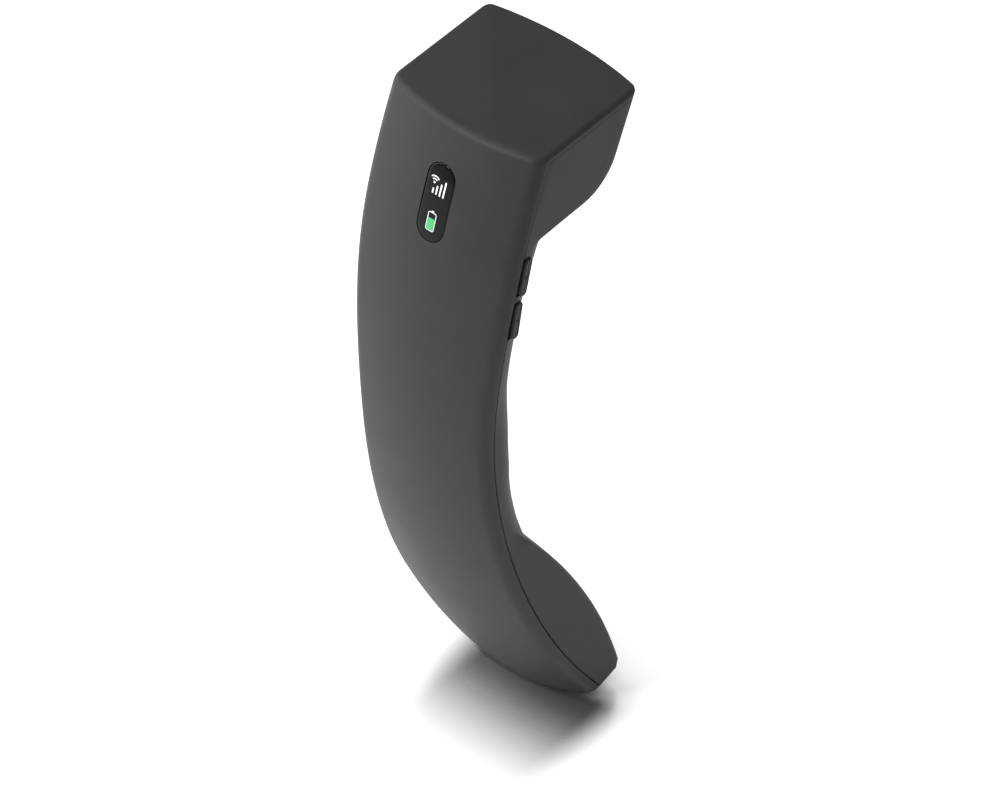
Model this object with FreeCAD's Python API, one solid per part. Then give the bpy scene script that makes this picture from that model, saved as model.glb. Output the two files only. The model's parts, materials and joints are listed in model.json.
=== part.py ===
import FreeCAD, Part
import math
import os

# A cordless telephone handset. X is across the handset, +Y is its ear side, -Y is its back
# with the status window, and +Z runs up its length. The origin is under the middle, at the
# level of the lowest point. Everything follows one large arc whose axis lies along X in
# front of the handset. An angle is measured at that axis, up from straight back, and a
# radius is the distance from it. "Outward" means away from the axis, so towards the back.
Vector = FreeCAD.Vector
ACROSS = FreeCAD.Rotation(Vector(0, 1, 0), 90)

# ---- driving dimensions, millimetres and degrees ----
HEIGHT = 205.8
AXIS_Y = 176.37
AXIS_Z = HEIGHT - 84.0
SEAM_RADIUS = 200.0
TOP_ANGLE = 24.8
END_ANGLE = -36.5
HALF_WIDTH = 25.0
WAIST_DEPTH = 3.2
WAIST_ANGLE = -4.5
WAIST_SPAN_UP = 20.0
WAIST_SPAN_DOWN = 29.5
CORNER = 4.0
CROWN_TOP = 3.65
CROWN_END = 6.2
HANDLE_DEPTH = 10.5
HANDLE_ROUND = 8.0
EAR_CROWN = 2.4
PAD_CROWN = 1.8
EDGE_ROUND = 1.5
WALL = 2.0
TOP_SKIRT = 2.2
SEAM_GAP = 0.2
BEHIND = SEAM_RADIUS + 25.0

# The ear block's side outline, as (y, depth below the top), with y from the top seam corner.
TOP_SEAM_Y = AXIS_Y - SEAM_RADIUS * math.cos(math.radians(TOP_ANGLE))
EAR_TOP = (33.6, 0.0)
EAR_TURN = (25.8, 17.6)
EAR_UNDER = 25.8
# The mouthpiece pad's side outline, in the same way: a long arc and a short end face.
PAD_START = (-7.3, 128.6)
PAD_MIDDLE = (12.7, 159.6)
PAD_TIP = (28.4, 198.8)
END_FRONT = (28.0, 201.2)
END_BACK = (20.4, 203.4)

WINDOW_ANGLE = 17.9
WINDOW_LENGTH = 22.4
WINDOW_WIDTH = 9.0
KEY_ANGLES = {"volume_up_button": 14.6, "volume_down_button": 10.75}
KEY_LENGTH = 11.3
KEY_DEPTH = 2.8
KEY_PROUD = 0.6
KEY_RADIUS = 198.1
KEY_CLEARANCE = 0.2
KEY_TRAVEL = 0.4
KEY_ROUND = 0.6
CALL_RADIUS = 5.5
CALL_PROUD = 0.8
CALL_TRAVEL = 0.4
HANDLE_FACE = SEAM_RADIUS - HANDLE_DEPTH
PAD_FACE = 185.0
SCREW_SPOTS = (
    (14.0, 3.4, HANDLE_FACE),
    (-14.0, 3.4, HANDLE_FACE),
    (12.0, -21.0, PAD_FACE),
    (-12.0, -21.0, PAD_FACE),
)
BOARD_ANGLE = 14.0
BOARD_SIZE = (34.0, 62.0, 1.2)
BOARD_RADIUS = 198.6
BOARD_SCREWS = ((14.0, -19.0), (-14.0, -19.0))
BATTERY_ANGLE = -11.8
BATTERY_SIZE = (29.0, 46.0, 7.0)
BATTERY_RADIUS = 194.0
EAR_SPOT = (24.0, 11.7)
EAR_LEAN = 24.0
MIC_SPOT = (22.4, 185.3)
MIC_LEAN = 21.4
MIC_WIRE_X = -18.6
SOCKET_WIDTH = 8.4
SOCKET_DEPTH = 3.2
SOCKET_ALONG = 3.4
POST_RADIUS = 3.0
SCREW_RADIUS = 1.0
SCREW_BITE = 6.0

# ---- levels worked out from them ----
POST_SPLIT = HANDLE_FACE + 7.0
PLUG_RADIUS = 2.3
SCREW_SINK = 2.0
CALL_FOOT = HANDLE_FACE + WALL + 0.3
CALL_BOARD = CALL_FOOT + 0.8 + CALL_TRAVEL + 1.8
LENS_FLANGE = 203.2


def polar(angle, radius, x=0.0):
    """The point at an angle and radius about the arc's axis."""
    a = math.radians(angle)
    return Vector(x, AXIS_Y - radius * math.cos(a), AXIS_Z + radius * math.sin(a))


def placed(shape, angle, radius, x=0.0):
    """Put a shape drawn at the origin on the arc: its +Z turns outward and its +Y up the arc."""
    turn = FreeCAD.Rotation(Vector(1, 0, 0), 90.0 - angle)
    shape.Placement = FreeCAD.Placement(polar(angle, radius, x), turn).multiply(shape.Placement)
    return shape


def side_point(spot):
    """A point of a side outline, from (y from the top seam corner, depth below the top)."""
    return Vector(0, TOP_SEAM_Y + spot[0], HEIGHT - spot[1])


def block(size, angle, radius, x=0.0, shift=0.0):
    """A box whose inner face lies at the given radius, moved up the arc's tangent by shift."""
    corner = Vector(-size[0] / 2, shift - size[1] / 2, 0)
    return placed(Part.makeBox(size[0], size[1], size[2], corner), angle, radius, x)


def rod(radius, length, angle, start, x=0.0, shift=0.0):
    """A cylinder that runs outward from a start radius."""
    return placed(Part.makeCylinder(radius, length, Vector(0, shift, 0)), angle, start, x)


def ring(outer, inner, length, angle, start, x=0.0, shift=0.0):
    """A tube that runs outward from a start radius."""
    return rod(outer, length, angle, start, x, shift).cut(
        rod(inner, length, angle, start, x, shift))


def stadium(length, width, height):
    """A prism with round ends, long along Y, with its base at the origin."""
    r = width / 2
    s = length / 2 - r
    edges = [
        Part.LineSegment(Vector(r, -s, 0), Vector(r, s, 0)).toShape(),
        Part.Arc(Vector(r, s, 0), Vector(0, s + r, 0), Vector(-r, s, 0)).toShape(),
        Part.LineSegment(Vector(-r, s, 0), Vector(-r, -s, 0)).toShape(),
        Part.Arc(Vector(-r, -s, 0), Vector(0, -s - r, 0), Vector(r, -s, 0)).toShape(),
    ]
    return Part.Face(Part.Wire(edges)).extrude(Vector(0, 0, height))


def half_width(angle):
    """Half the handset's width: it narrows to a waist below the middle of the handle."""
    span = WAIST_SPAN_UP if angle > WAIST_ANGLE else WAIST_SPAN_DOWN
    part = min(abs(angle - WAIST_ANGLE) / span, 1.0)
    return HALF_WIDTH - WAIST_DEPTH * math.cos(math.pi / 2 * part) ** 2


def crown_radius(angle):
    """Radius of the back's crown across the width, which tightens towards the mouth end."""
    part = (TOP_ANGLE - angle) / (TOP_ANGLE - END_ANGLE)
    rise = CROWN_TOP + part * (CROWN_END - CROWN_TOP)
    return (HALF_WIDTH ** 2 + rise ** 2) / (2 * rise)


def back_section(angle, inset):
    """One closed section of the envelope: crowned back, round corners and straight sides."""
    half = half_width(angle)
    crown = crown_radius(angle)
    centre_x = half - CORNER
    centre_z = -math.sqrt((crown - CORNER) ** 2 - centre_x ** 2)
    lean = math.atan2(centre_x, -centre_z)
    corner = CORNER - inset
    crown -= inset
    side_x = half - inset
    reach = -75.0
    tangent = Vector(crown * math.sin(lean), centre_z + crown * math.cos(lean), 0)
    turn = math.radians(90) / 2 + lean / 2
    middle = Vector(centre_x + corner * math.sin(turn), corner * math.cos(turn), 0)
    side = Vector(side_x, 0, 0)
    foot = Vector(side_x, reach, 0)

    def at(p, sign=1):
        return polar(angle, SEAM_RADIUS + p.y, sign * p.x)

    top = at(Vector(0, centre_z + crown, 0))
    return Part.Wire([
        Part.LineSegment(at(foot, -1), at(foot)).toShape(),
        Part.LineSegment(at(foot), at(side)).toShape(),
        Part.Arc(at(side), at(middle), at(tangent)).toShape(),
        Part.Arc(at(tangent), top, at(tangent, -1)).toShape(),
        Part.Arc(at(tangent, -1), at(middle, -1), at(side, -1)).toShape(),
        Part.LineSegment(at(side, -1), at(foot, -1)).toShape(),
    ])


def envelope(inset):
    """The crowned and waisted bar that holds the whole handset, open-ended past both ends."""
    angles = [32.0 - 4.0 * i for i in range(19)]
    return Part.makeLoft([back_section(a, inset) for a in angles], True, False)


def prism(edges):
    """A closed side outline pushed through the whole width."""
    across = HALF_WIDTH + 5
    face = Part.Face(Part.Wire(edges))
    face.translate(Vector(-across, 0, 0))
    return face.extrude(Vector(2 * across, 0, 0))


def line(p, q):
    return Part.LineSegment(p, q).toShape()


def ends_prism(inset):
    """Everything between the top plane and the narrow end face."""
    top = HEIGHT - inset
    front = side_point(END_FRONT)
    back = side_point(END_BACK)
    along = (front - back).normalize()
    up = Vector(0, -along.z, along.y) * inset
    far_front = front + along * 60 + up
    far_back = back - along * 160 + up
    corners = [
        far_back,
        far_front,
        Vector(0, far_front.y, top),
        Vector(0, far_back.y, top),
    ]
    loop = corners + corners[:1]
    return prism([line(p, q) for p, q in zip(loop, loop[1:])])


def band(inner, outer, high=30.0, low=-31.0):
    """A thick arc-shaped slab between two radii and two angles."""
    mid = (high + low) / 2
    return prism([
        Part.Arc(polar(high, inner), polar(mid, inner), polar(low, inner)).toShape(),
        line(polar(low, inner), polar(low, outer)),
        Part.Arc(polar(low, outer), polar(mid, outer), polar(high, outer)).toShape(),
        line(polar(high, outer), polar(high, inner)),
    ])


def round_edges(shape, radius, wanted):
    """Round the edges that a test on an edge picks."""
    edges = [e for e in shape.Edges if wanted(e)]
    return shape.makeFillet(radius, edges)


def handle(inset, skin, ends):
    """The bar that runs the whole length, with its two front edges well rounded."""
    inner = SEAM_RADIUS - HANDLE_DEPTH + inset
    bar = skin.common(band(inner, BEHIND)).common(ends)

    def long_front_edge(edge):
        middle = edge.valueAt((edge.FirstParameter + edge.LastParameter) / 2)
        radius = math.hypot(middle.y - AXIS_Y, middle.z - AXIS_Z)
        return edge.Length > 80 and abs(radius - inner) < 0.5

    return round_edges(bar, HANDLE_ROUND - inset, long_front_edge)


def crown_roller(middle, direction, crown, inset):
    """A huge cylinder along a front face, whose skin gives that face its slight crown."""
    radius = (HALF_WIDTH ** 2 + crown ** 2) / (2 * crown)
    forward = Vector(0, -direction.z, direction.y)
    base = middle + forward * (crown - radius) - direction * 100
    return Part.makeCylinder(radius - inset, 200, base, direction)


def ear_block(inset, skin, ends):
    """The block that carries the earpiece, flush with the handset's flat sides."""
    top = side_point(EAR_TOP)
    turn = side_point(EAR_TURN)
    lean = (turn - top).normalize()
    forward = Vector(0, -lean.z, lean.y)
    under_z = HEIGHT - EAR_UNDER
    corner = turn + lean * ((turn.z - under_z) / -lean.z)
    reach = (corner - turn).Length
    under = corner - Vector(0, reach, 0)
    half_turn = math.acos(-lean.y) / 2
    radius = reach / math.tan(half_turn)
    centre = under + Vector(0, 0, radius)
    middle = centre + (corner - centre).normalize() * (radius - inset)
    shift = forward * (EAR_CROWN - inset)
    start = top - lean * 20 + shift
    lift = Vector(0, 0, inset)
    push = forward * EAR_CROWN
    behind = polar(0, BEHIND)
    low_back = Vector(0, behind.y, under_z + inset)
    high_back = Vector(0, behind.y, start.z)
    outline = prism([
        line(start, turn + shift),
        Part.Arc(turn + shift, middle + push, under + lift + push).toShape(),
        line(under + lift + push, low_back),
        line(low_back, high_back),
        line(high_back, start),
    ])
    face = (top + turn) * 0.5
    block_shape = skin.common(outline).common(ends)
    return block_shape.common(crown_roller(face, lean, EAR_CROWN, inset))


def mouth_pad(inset, skin, ends):
    """The pad in front of the microphone: a long shallow curve down to the narrow end."""
    start = side_point(PAD_START)
    middle = side_point(PAD_MIDDLE)
    tip = side_point(PAD_TIP)
    along = (tip - start).normalize()
    forward = Vector(0, -along.z, along.y)
    shift = forward * (PAD_CROWN - inset)
    after = tip + along * 14 + shift
    low_back = polar(-46.0, BEHIND)
    high_back = polar(-9.0, BEHIND)
    outline = prism([
        Part.Arc(start + shift, middle + shift, tip + shift).toShape(),
        line(tip + shift, after),
        line(after, low_back),
        line(low_back, high_back),
        line(high_back, start + shift),
    ])
    pad = skin.common(outline).common(ends)
    return pad.common(crown_roller((start + tip) * 0.5 + forward * 3, along, PAD_CROWN, inset))


def handset_solid(inset):
    """The handset's outer shape, or the same shape shrunk by an inset."""
    skin = envelope(inset)
    ends = ends_prism(inset)
    bar = handle(inset, skin, ends)
    return bar.fuse([ear_block(inset, skin, ends), mouth_pad(inset, skin, ends)])


def shells(outer, inner):
    """Split the hollow case along the seam arc, with the top wall on the back shell."""
    case = outer.cut(inner)
    across = 4 * HALF_WIDTH
    low_corner = Vector(-across / 2, -150, -150)
    everything = Part.makeBox(across, 400, 500, low_corner)
    skirt_z = HEIGHT - TOP_SKIRT
    top_slab = Part.makeBox(across, 400, 50, Vector(-across / 2, -150, skirt_z))
    axle = Vector(-across / 2, AXIS_Y, AXIS_Z)
    back_side = Part.makeCylinder(SEAM_RADIUS + SEAM_GAP / 2, across, axle, Vector(1, 0, 0))
    front_side = Part.makeCylinder(SEAM_RADIUS - SEAM_GAP / 2, across, axle, Vector(1, 0, 0))
    below = Part.makeBox(across, 400, skirt_z - SEAM_GAP + 150, low_corner)
    back = case.common(everything.cut(back_side).fuse(top_slab))
    front = case.common(front_side).common(below)
    return back, front


def screw_bosses():
    """Screw posts: one set stands on the front shell and the other on the back shell."""
    front_posts = []
    back_posts = []
    for x, angle, face in SCREW_SPOTS:
        front_posts.append(rod(POST_RADIUS, POST_SPLIT - face - 1, angle, face + 1, x))
        back_posts.append(rod(POST_RADIUS, 12.0, angle, POST_SPLIT + 0.2, x))
    return front_posts, back_posts


def finish_back(back, outer):
    """Add the posts and board posts to the back shell and cut its window."""
    inside = outer.common(outer.translated(Vector(0, 0.8, 0)))
    posts = screw_bosses()[1]
    for x, shift in BOARD_SCREWS:
        posts.append(rod(2.6, 8.0, BOARD_ANGLE, BOARD_RADIUS + 0.05, x, shift))
    back = back.fuse([post.common(inside) for post in posts])
    back = back.cut(placed(stadium(WINDOW_LENGTH, WINDOW_WIDTH, 12), WINDOW_ANGLE, 202.5))
    for x, angle, _ in SCREW_SPOTS:
        back = back.cut(rod(SCREW_RADIUS + 0.02, SCREW_BITE + 0.2, angle, POST_SPLIT, x))
    for x, shift in BOARD_SCREWS:
        back = back.cut(rod(0.82, 3.2, BOARD_ANGLE, BOARD_RADIUS, x, shift))
    return back


def finish_front(front):
    """Add the posts to the front shell and cut every opening in it."""
    front = front.fuse(screw_bosses()[0])
    for x, angle, face in SCREW_SPOTS:
        front = front.cut(rod(PLUG_RADIUS + 0.05, 6.2, angle, face - 3, x))
        front = front.cut(rod(SCREW_RADIUS + 0.15, 20.0, angle, face - 3, x))
    front = front.cut(rod(CALL_RADIUS + KEY_CLEARANCE, 6.0, 0, HANDLE_FACE - 3))
    for angle in KEY_ANGLES.values():
        front = front.cut(key_body(angle, KEY_CLEARANCE, 10.0))
    for hole in ear_holes() + [mouth_hole()]:
        front = front.cut(hole)
    return front.cut(charge_opening())


def key_start(angle):
    """Where a side key's foot begins, just inside the wall at the key's narrower end."""
    return half_width(angle - 2.0) - WALL - 0.95


def key_body(angle, grow, length):
    """The round-ended bar of a side key, pointing along +X, grown on its sides."""
    bar = stadium(KEY_LENGTH + 2 * grow, KEY_DEPTH + 2 * grow, length)
    bar.Placement = FreeCAD.Placement(Vector(key_start(angle), 0, 0), ACROSS)
    return placed(bar, angle, KEY_RADIUS)


def side_key(angle):
    """A side key: a bar through the wall and a wider foot that keeps it in."""
    face_x = half_width(angle) + KEY_PROUD
    bar = key_body(angle, 0.0, face_x - key_start(angle))
    face = [e for e in bar.Edges if e.BoundBox.XMin > face_x - 0.01]
    bar = bar.makeFillet(KEY_ROUND, face)
    foot = stadium(KEY_LENGTH + 1.6, KEY_DEPTH + 0.8, 0.8)
    foot.Placement = FreeCAD.Placement(Vector(key_start(angle), 0, 0), ACROSS)
    return bar.fuse(placed(foot, angle, KEY_RADIUS - 0.3))


def side_switches():
    """One low tact switch inside each side key, on the board's edge."""
    bodies = []
    for angle in KEY_ANGLES.values():
        tip_x = key_start(angle) - KEY_TRAVEL - 0.05
        body = block((3.2, 4.6, 3.2), angle, KEY_RADIUS - 1.9, tip_x - 2.1)
        tip = Part.makeCylinder(0.8, 0.6, Vector(tip_x - 0.6, 0, 0), Vector(1, 0, 0))
        bodies.append(body.fuse(placed(tip, angle, KEY_RADIUS - 0.3)))
    return Part.Compound(bodies)


def call_key():
    """The round call key in the middle of the handle's inner face, with its foot inside."""
    cap = rod(CALL_RADIUS, CALL_FOOT - HANDLE_FACE + CALL_PROUD + 0.2, 0, HANDLE_FACE - CALL_PROUD)
    rim = [e for e in cap.Edges if abs(e.BoundBox.YMax - (AXIS_Y - HANDLE_FACE + CALL_PROUD)) < 0.01
           and e.BoundBox.YLength < 0.01]
    cap = cap.makeFillet(0.6, rim)
    return cap.fuse(rod(CALL_RADIUS + 1.3, 0.8, 0, CALL_FOOT))


def call_switch():
    """The tact switch under the call key."""
    body = block((5.0, 5.0, 1.3), 0, CALL_BOARD - 1.3)
    return body.fuse(rod(1.2, 0.5, 0, CALL_BOARD - 1.75))


def display_window(outer):
    """The round-ended lens, flush with the crowned back, on a wider inner flange."""
    lens = stadium(WINDOW_LENGTH - 0.3, WINDOW_WIDTH - 0.3, 12)
    lens = placed(lens, WINDOW_ANGLE, LENS_FLANGE + 0.5).common(outer)
    flange = placed(stadium(WINDOW_LENGTH + 3, WINDOW_WIDTH + 3, 0.8), WINDOW_ANGLE, LENS_FLANGE)
    return lens.fuse(flange)


def display_gasket():
    """The adhesive ring between the lens flange and the back shell."""
    ring_shape = stadium(WINDOW_LENGTH + 3, WINDOW_WIDTH + 3, 0.25)
    ring_shape = ring_shape.cut(stadium(WINDOW_LENGTH + 0.2, WINDOW_WIDTH + 0.2, 0.25))
    return placed(ring_shape, WINDOW_ANGLE, LENS_FLANGE + 0.82)


def display_module():
    """The small display: a glass panel in a frame that stands on the board."""
    panel = block((9.5, 22.0, 1.3), WINDOW_ANGLE, LENS_FLANGE - 1.5)
    frame = block((11.0, 23.5, 1.0), WINDOW_ANGLE, LENS_FLANGE - 2.5)
    return panel.fuse(frame)


def main_board():
    """The main circuit board, with two screw holes near its lower end."""
    board = block(BOARD_SIZE, BOARD_ANGLE, BOARD_RADIUS - BOARD_SIZE[2])
    for x, shift in BOARD_SCREWS:
        board = board.cut(rod(1.1, 4.0, BOARD_ANGLE, BOARD_RADIUS - 2.5, x, shift))
    return board


def board_screws():
    """Two small screws that hold the board to the back shell's posts."""
    under = BOARD_RADIUS - BOARD_SIZE[2]
    screws = []
    for x, shift in BOARD_SCREWS:
        head = rod(1.6, 0.8, BOARD_ANGLE, under - 0.8, x, shift)
        screws.append(head.fuse(rod(0.8, 4.2, BOARD_ANGLE, under, x, shift)))
    return Part.Compound(screws)


def case_screws():
    """Four cap screws, each through a front post into a back post."""
    screws = []
    for x, angle, face in SCREW_SPOTS:
        start = face + SCREW_SINK
        head = rod(1.9, 1.2, angle, start, x)
        slot = rod(0.7, 0.7, angle, start, x)
        shank = rod(SCREW_RADIUS, POST_SPLIT + SCREW_BITE - start - 1.2, angle, start + 1.2, x)
        screws.append(head.fuse(shank).cut(slot))
    return Part.Compound(screws)


def screw_plugs():
    """The soft round plugs that hide the screw heads, flush with the front shell."""
    return Part.Compound([rod(PLUG_RADIUS, 1.2, angle, face, x) for x, angle, face in SCREW_SPOTS])


def front_place(spot, lean):
    """A placement at a side-outline spot on the middle plane, with +Z turned to the front."""
    turn = FreeCAD.Rotation(Vector(1, 0, 0), -90 + lean)
    return FreeCAD.Placement(side_point(spot), turn)


def set_at(shape, place):
    shape.Placement = place.multiply(shape.Placement)
    return shape


def ear_place():
    """Where the earpiece speaker's front face lies: it leans with the ear block's face."""
    return front_place(EAR_SPOT, -EAR_LEAN)


def ear_holes():
    """The sound holes in the ear face: one in the middle and six around it."""
    spots = [(0.0, 0.0)]
    for i in range(6):
        turn = math.radians(60 * i)
        spots.append((3.6 * math.cos(turn), 3.6 * math.sin(turn)))
    holes = []
    for x, y in spots:
        holes.append(set_at(Part.makeCylinder(0.8, 12, Vector(x, y, 1.5)), ear_place()))
    return holes


def earpiece_speaker():
    """The earpiece speaker: a round can with a shallow cone."""
    can = Part.makeCylinder(7.5, 3.6, Vector(0, 0, -3.6))
    magnet = Part.makeCylinder(4.2, 1.0, Vector(0, 0, -4.6))
    dish = Part.makeCone(3.0, 6.0, 0.8, Vector(0, 0, -0.8))
    return set_at(can.fuse(magnet).cut(dish), ear_place())


def speaker_gasket():
    """The foam ring that seals the speaker to the inside of the ear face."""
    foam = Part.makeCylinder(7.4, 1.6, Vector(0, 0, 0.02)).cut(Part.makeCylinder(5.6, 1.7))
    return set_at(foam, ear_place())


def earpiece_mesh():
    """The dust mesh in front of the speaker's foam ring."""
    return set_at(Part.makeCylinder(7.0, 0.3, Vector(0, 0, 1.65)), ear_place())


def mouth_place():
    """Where the microphone's front face lies, behind the pad's curve."""
    return front_place(MIC_SPOT, MIC_LEAN)


def mouth_hole():
    """The small slot that lets the voice in."""
    slot = stadium(5.0, 1.2, 12)
    slot.rotate(Vector(0, 0, 0), Vector(0, 0, 1), 90)
    return set_at(slot, mouth_place())


def microphone():
    """The microphone capsule."""
    return set_at(Part.makeCylinder(3.0, 2.2, Vector(0, 0, -3.0)), mouth_place())


def microphone_boot():
    """The rubber cup round the microphone."""
    cup = Part.makeCylinder(4.2, 3.6, Vector(0, 0, -3.8))
    cup = cup.cut(Part.makeCylinder(3.03, 2.26, Vector(0, 0, -3.03)))
    return set_at(cup.cut(Part.makeCylinder(2.4, 2.0, Vector(0, 0, -1.5))), mouth_place())


def end_place():
    """Where the charge socket's mouth lies, on the narrow end face."""
    front = side_point(END_FRONT)
    back = side_point(END_BACK)
    along = (front - back).normalize()
    outward = Vector(0, along.z, -along.y)
    mouth = back + along * SOCKET_ALONG
    turn = FreeCAD.Rotation(Vector(0, 0, 1), outward)
    return FreeCAD.Placement(mouth, turn)


def charge_opening():
    """The rounded opening for the charging plug, through the end wall."""
    slot = stadium(SOCKET_WIDTH, SOCKET_DEPTH, 6)
    slot.rotate(Vector(0, 0, 0), Vector(0, 0, 1), 90)
    slot.translate(Vector(0, 0, -4))
    return set_at(slot, end_place())


def charge_socket():
    """The charging socket: a thin metal mouth round a contact tongue."""
    hole = stadium(SOCKET_WIDTH - 0.8, SOCKET_DEPTH - 0.8, 5.4)
    body = stadium(SOCKET_WIDTH - 0.1, SOCKET_DEPTH - 0.1, 6.4)
    body = body.cut(hole.translated(Vector(0, 0, 1.2)))
    tongue = Part.makeBox(0.7, SOCKET_WIDTH - 3.0, 4.6, Vector(-0.35, -(SOCKET_WIDTH - 3.0) / 2, 1))
    body = body.fuse(tongue)
    body.rotate(Vector(0, 0, 0), Vector(0, 0, 1), 90)
    body.translate(Vector(0, 0, -6.8))
    return set_at(body, end_place())


def arc_wire(x, radius, high, low, thickness):
    """A wire that follows the handset's arc between two angles."""
    start = polar(high, radius, x)
    disc = Part.Face(Part.Wire(Part.Circle(start, tangent(high), thickness / 2).toShape()))
    return disc.revolve(Vector(x, AXIS_Y, AXIS_Z), Vector(1, 0, 0), high - low)


def tangent(angle):
    a = math.radians(angle)
    return Vector(0, math.sin(a), math.cos(a))


def straight_wire(start, end, thickness):
    """A short straight wire between two points."""
    return Part.makeCylinder(thickness / 2, (end - start).Length, start, end - start)


def board_end(x):
    """The point at the middle of the board's lower edge, where wires are soldered."""
    half = BOARD_SIZE[1] / 2
    level = BOARD_RADIUS - BOARD_SIZE[2] / 2
    drop = math.degrees(math.atan(half / level))
    return BOARD_ANGLE - drop, math.hypot(half, level), x


def wires():
    """Wires from the board to the battery, the speaker, the microphone and the call key."""
    angle, radius, _ = board_end(0)
    angle -= 0.15
    battery_top = BATTERY_ANGLE + math.degrees(math.atan(BATTERY_SIZE[1] / 2 / radius)) + 0.1
    battery = [arc_wire(x, radius, angle, battery_top, 1.0) for x in (8.6, 10.2)]
    mic_back = mouth_place().multVec(Vector(0, 0, -4.3))
    turn = polar(-24.5, radius, MIC_WIRE_X)
    mic = []
    for side in (0.0, 1.2):
        lead = arc_wire(MIC_WIRE_X + side, radius, angle, -24.5, 0.8)
        end = mic_back + Vector(side - 0.6, 0, 0)
        mic.append(lead.fuse(straight_wire(turn + Vector(side, 0, 0), end, 0.8)))
    speaker_back = ear_place().multVec(Vector(0, 0, -4.9))
    from_board = polar(20.5, BOARD_RADIUS - BOARD_SIZE[2] + 0.1)
    speaker = []
    call = []
    for x in (-2.0, 2.0):
        step = Vector(x, 0, 0)
        speaker.append(straight_wire(from_board + step, speaker_back + step, 0.8))
        call.append(straight_wire(polar(angle, radius, x), polar(2.0, CALL_BOARD + 1.6, x), 0.8))
    return {
        "battery_wires": Part.Compound(battery),
        "microphone_wires": Part.Compound(mic),
        "speaker_wires": Part.Compound(speaker),
        "call_wires": Part.Compound(call),
    }


def electronics():
    """Everything on and around the board, and the battery."""
    under = BOARD_RADIUS - BOARD_SIZE[2]
    chips = [
        block((7.0, 7.0, 1.1), BOARD_ANGLE, under - 1.1, -10.0, 2.0),
        block((4.0, 5.0, 1.0), BOARD_ANGLE, under - 1.0, 11.0, -9.0),
        block((6.0, 3.0, 1.4), BOARD_ANGLE, under - 1.4, 9.0, -27.0),
        block((5.0, 3.0, 1.4), BOARD_ANGLE, under - 1.4, -6.0, -27.0),
    ]
    strip = block((22.0, 3.5, 0.4), BOARD_ANGLE, under - 3.4, 0.0, 28.0)
    leg = block((1.6, 0.4, 3.4), BOARD_ANGLE, under - 3.4, -10.2, 26.4)
    return {
        "main_board": main_board(),
        "board_chips": Part.Compound(chips),
        "radio_shield": block((14.0, 13.0, 2.0), BOARD_ANGLE, under - 2.0, 4.0, 4.0),
        "antenna": strip.fuse(leg),
        "board_screws": board_screws(),
        "battery_cell": battery_cell(),
        "battery_pad": block((25.0, 40.0, 0.8), BATTERY_ANGLE, BATTERY_RADIUS + BATTERY_SIZE[2] + 0.05),
        "call_board": block((15.0, 15.0, 1.0), 0, CALL_BOARD),
        "call_switch": call_switch(),
        "side_switches": side_switches(),
    }


def battery_cell():
    """A flat pouch cell with soft edges."""
    cell = block(BATTERY_SIZE, BATTERY_ANGLE, BATTERY_RADIUS)
    return cell.makeFillet(1.5, cell.Edges)


def pieces():
    """Every piece of the handset by its name."""
    outer = handset_solid(0.0)
    top_rim = [e for e in outer.Edges if e.BoundBox.ZMin > HEIGHT - 0.01]
    outer = outer.makeFillet(EDGE_ROUND, top_rim)
    back, front = shells(outer, handset_solid(WALL))
    found = {
        "back_shell": finish_back(back, outer),
        "front_shell": finish_front(front),
        "display_window": display_window(outer),
        "display_gasket": display_gasket(),
        "display_module": display_module(),
        "call_button": call_key(),
        "case_screws": case_screws(),
        "screw_plugs": screw_plugs(),
        "earpiece_speaker": earpiece_speaker(),
        "speaker_gasket": speaker_gasket(),
        "earpiece_mesh": earpiece_mesh(),
        "microphone": microphone(),
        "microphone_boot": microphone_boot(),
        "charge_socket": charge_socket(),
    }
    for name, angle in KEY_ANGLES.items():
        found[name] = side_key(angle)
    found.update(electronics())
    found.update(wires())
    return found


def main():
    os.makedirs("parts", exist_ok=True)
    for name, shape in pieces().items():
        print(name, shape.isValid(), len(shape.Solids), round(shape.Volume, 1))
        shape.exportStep(f"parts/{name}.step")


main()
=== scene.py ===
"""The visual model of a cordless telephone handset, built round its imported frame.

Sizes in the classes are millimetres and degrees, and meshes are written in metres. X is
across the handset, +Y is the ear side, -Y is the back with the status window and Z is up.
"""
import json
import logging
import math
from dataclasses import dataclass, field
from enum import Enum
from typing import Iterable, Sequence

import bmesh
import bpy
import numpy as np
from mathutils import Matrix, Vector


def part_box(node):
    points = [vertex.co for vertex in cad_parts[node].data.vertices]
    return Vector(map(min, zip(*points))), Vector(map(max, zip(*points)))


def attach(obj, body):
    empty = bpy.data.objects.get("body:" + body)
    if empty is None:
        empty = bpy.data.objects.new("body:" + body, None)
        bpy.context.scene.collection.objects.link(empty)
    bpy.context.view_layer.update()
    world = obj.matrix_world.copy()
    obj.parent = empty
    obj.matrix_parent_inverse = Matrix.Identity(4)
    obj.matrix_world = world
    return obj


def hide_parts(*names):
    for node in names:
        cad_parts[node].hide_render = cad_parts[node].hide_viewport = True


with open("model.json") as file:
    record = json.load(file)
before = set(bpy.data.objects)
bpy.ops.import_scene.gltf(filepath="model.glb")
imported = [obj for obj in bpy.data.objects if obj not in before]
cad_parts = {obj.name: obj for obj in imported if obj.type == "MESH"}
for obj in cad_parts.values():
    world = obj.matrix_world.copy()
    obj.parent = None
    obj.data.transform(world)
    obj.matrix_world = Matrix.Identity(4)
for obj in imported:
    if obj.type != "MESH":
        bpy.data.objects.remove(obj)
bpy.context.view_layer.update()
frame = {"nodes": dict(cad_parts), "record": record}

MM = 0.001
LOG = logging.getLogger("handset")
AXIS_DROP = 84.0
WELD = 1e-7
TIGHT_SEAM = 0.4
TIGHT_BAND = (19.0, 13.0)
EDGE_TURNS = [math.radians(turn) for turn in (90, 60, 30, 0)]
Point = tuple[float, float]


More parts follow.
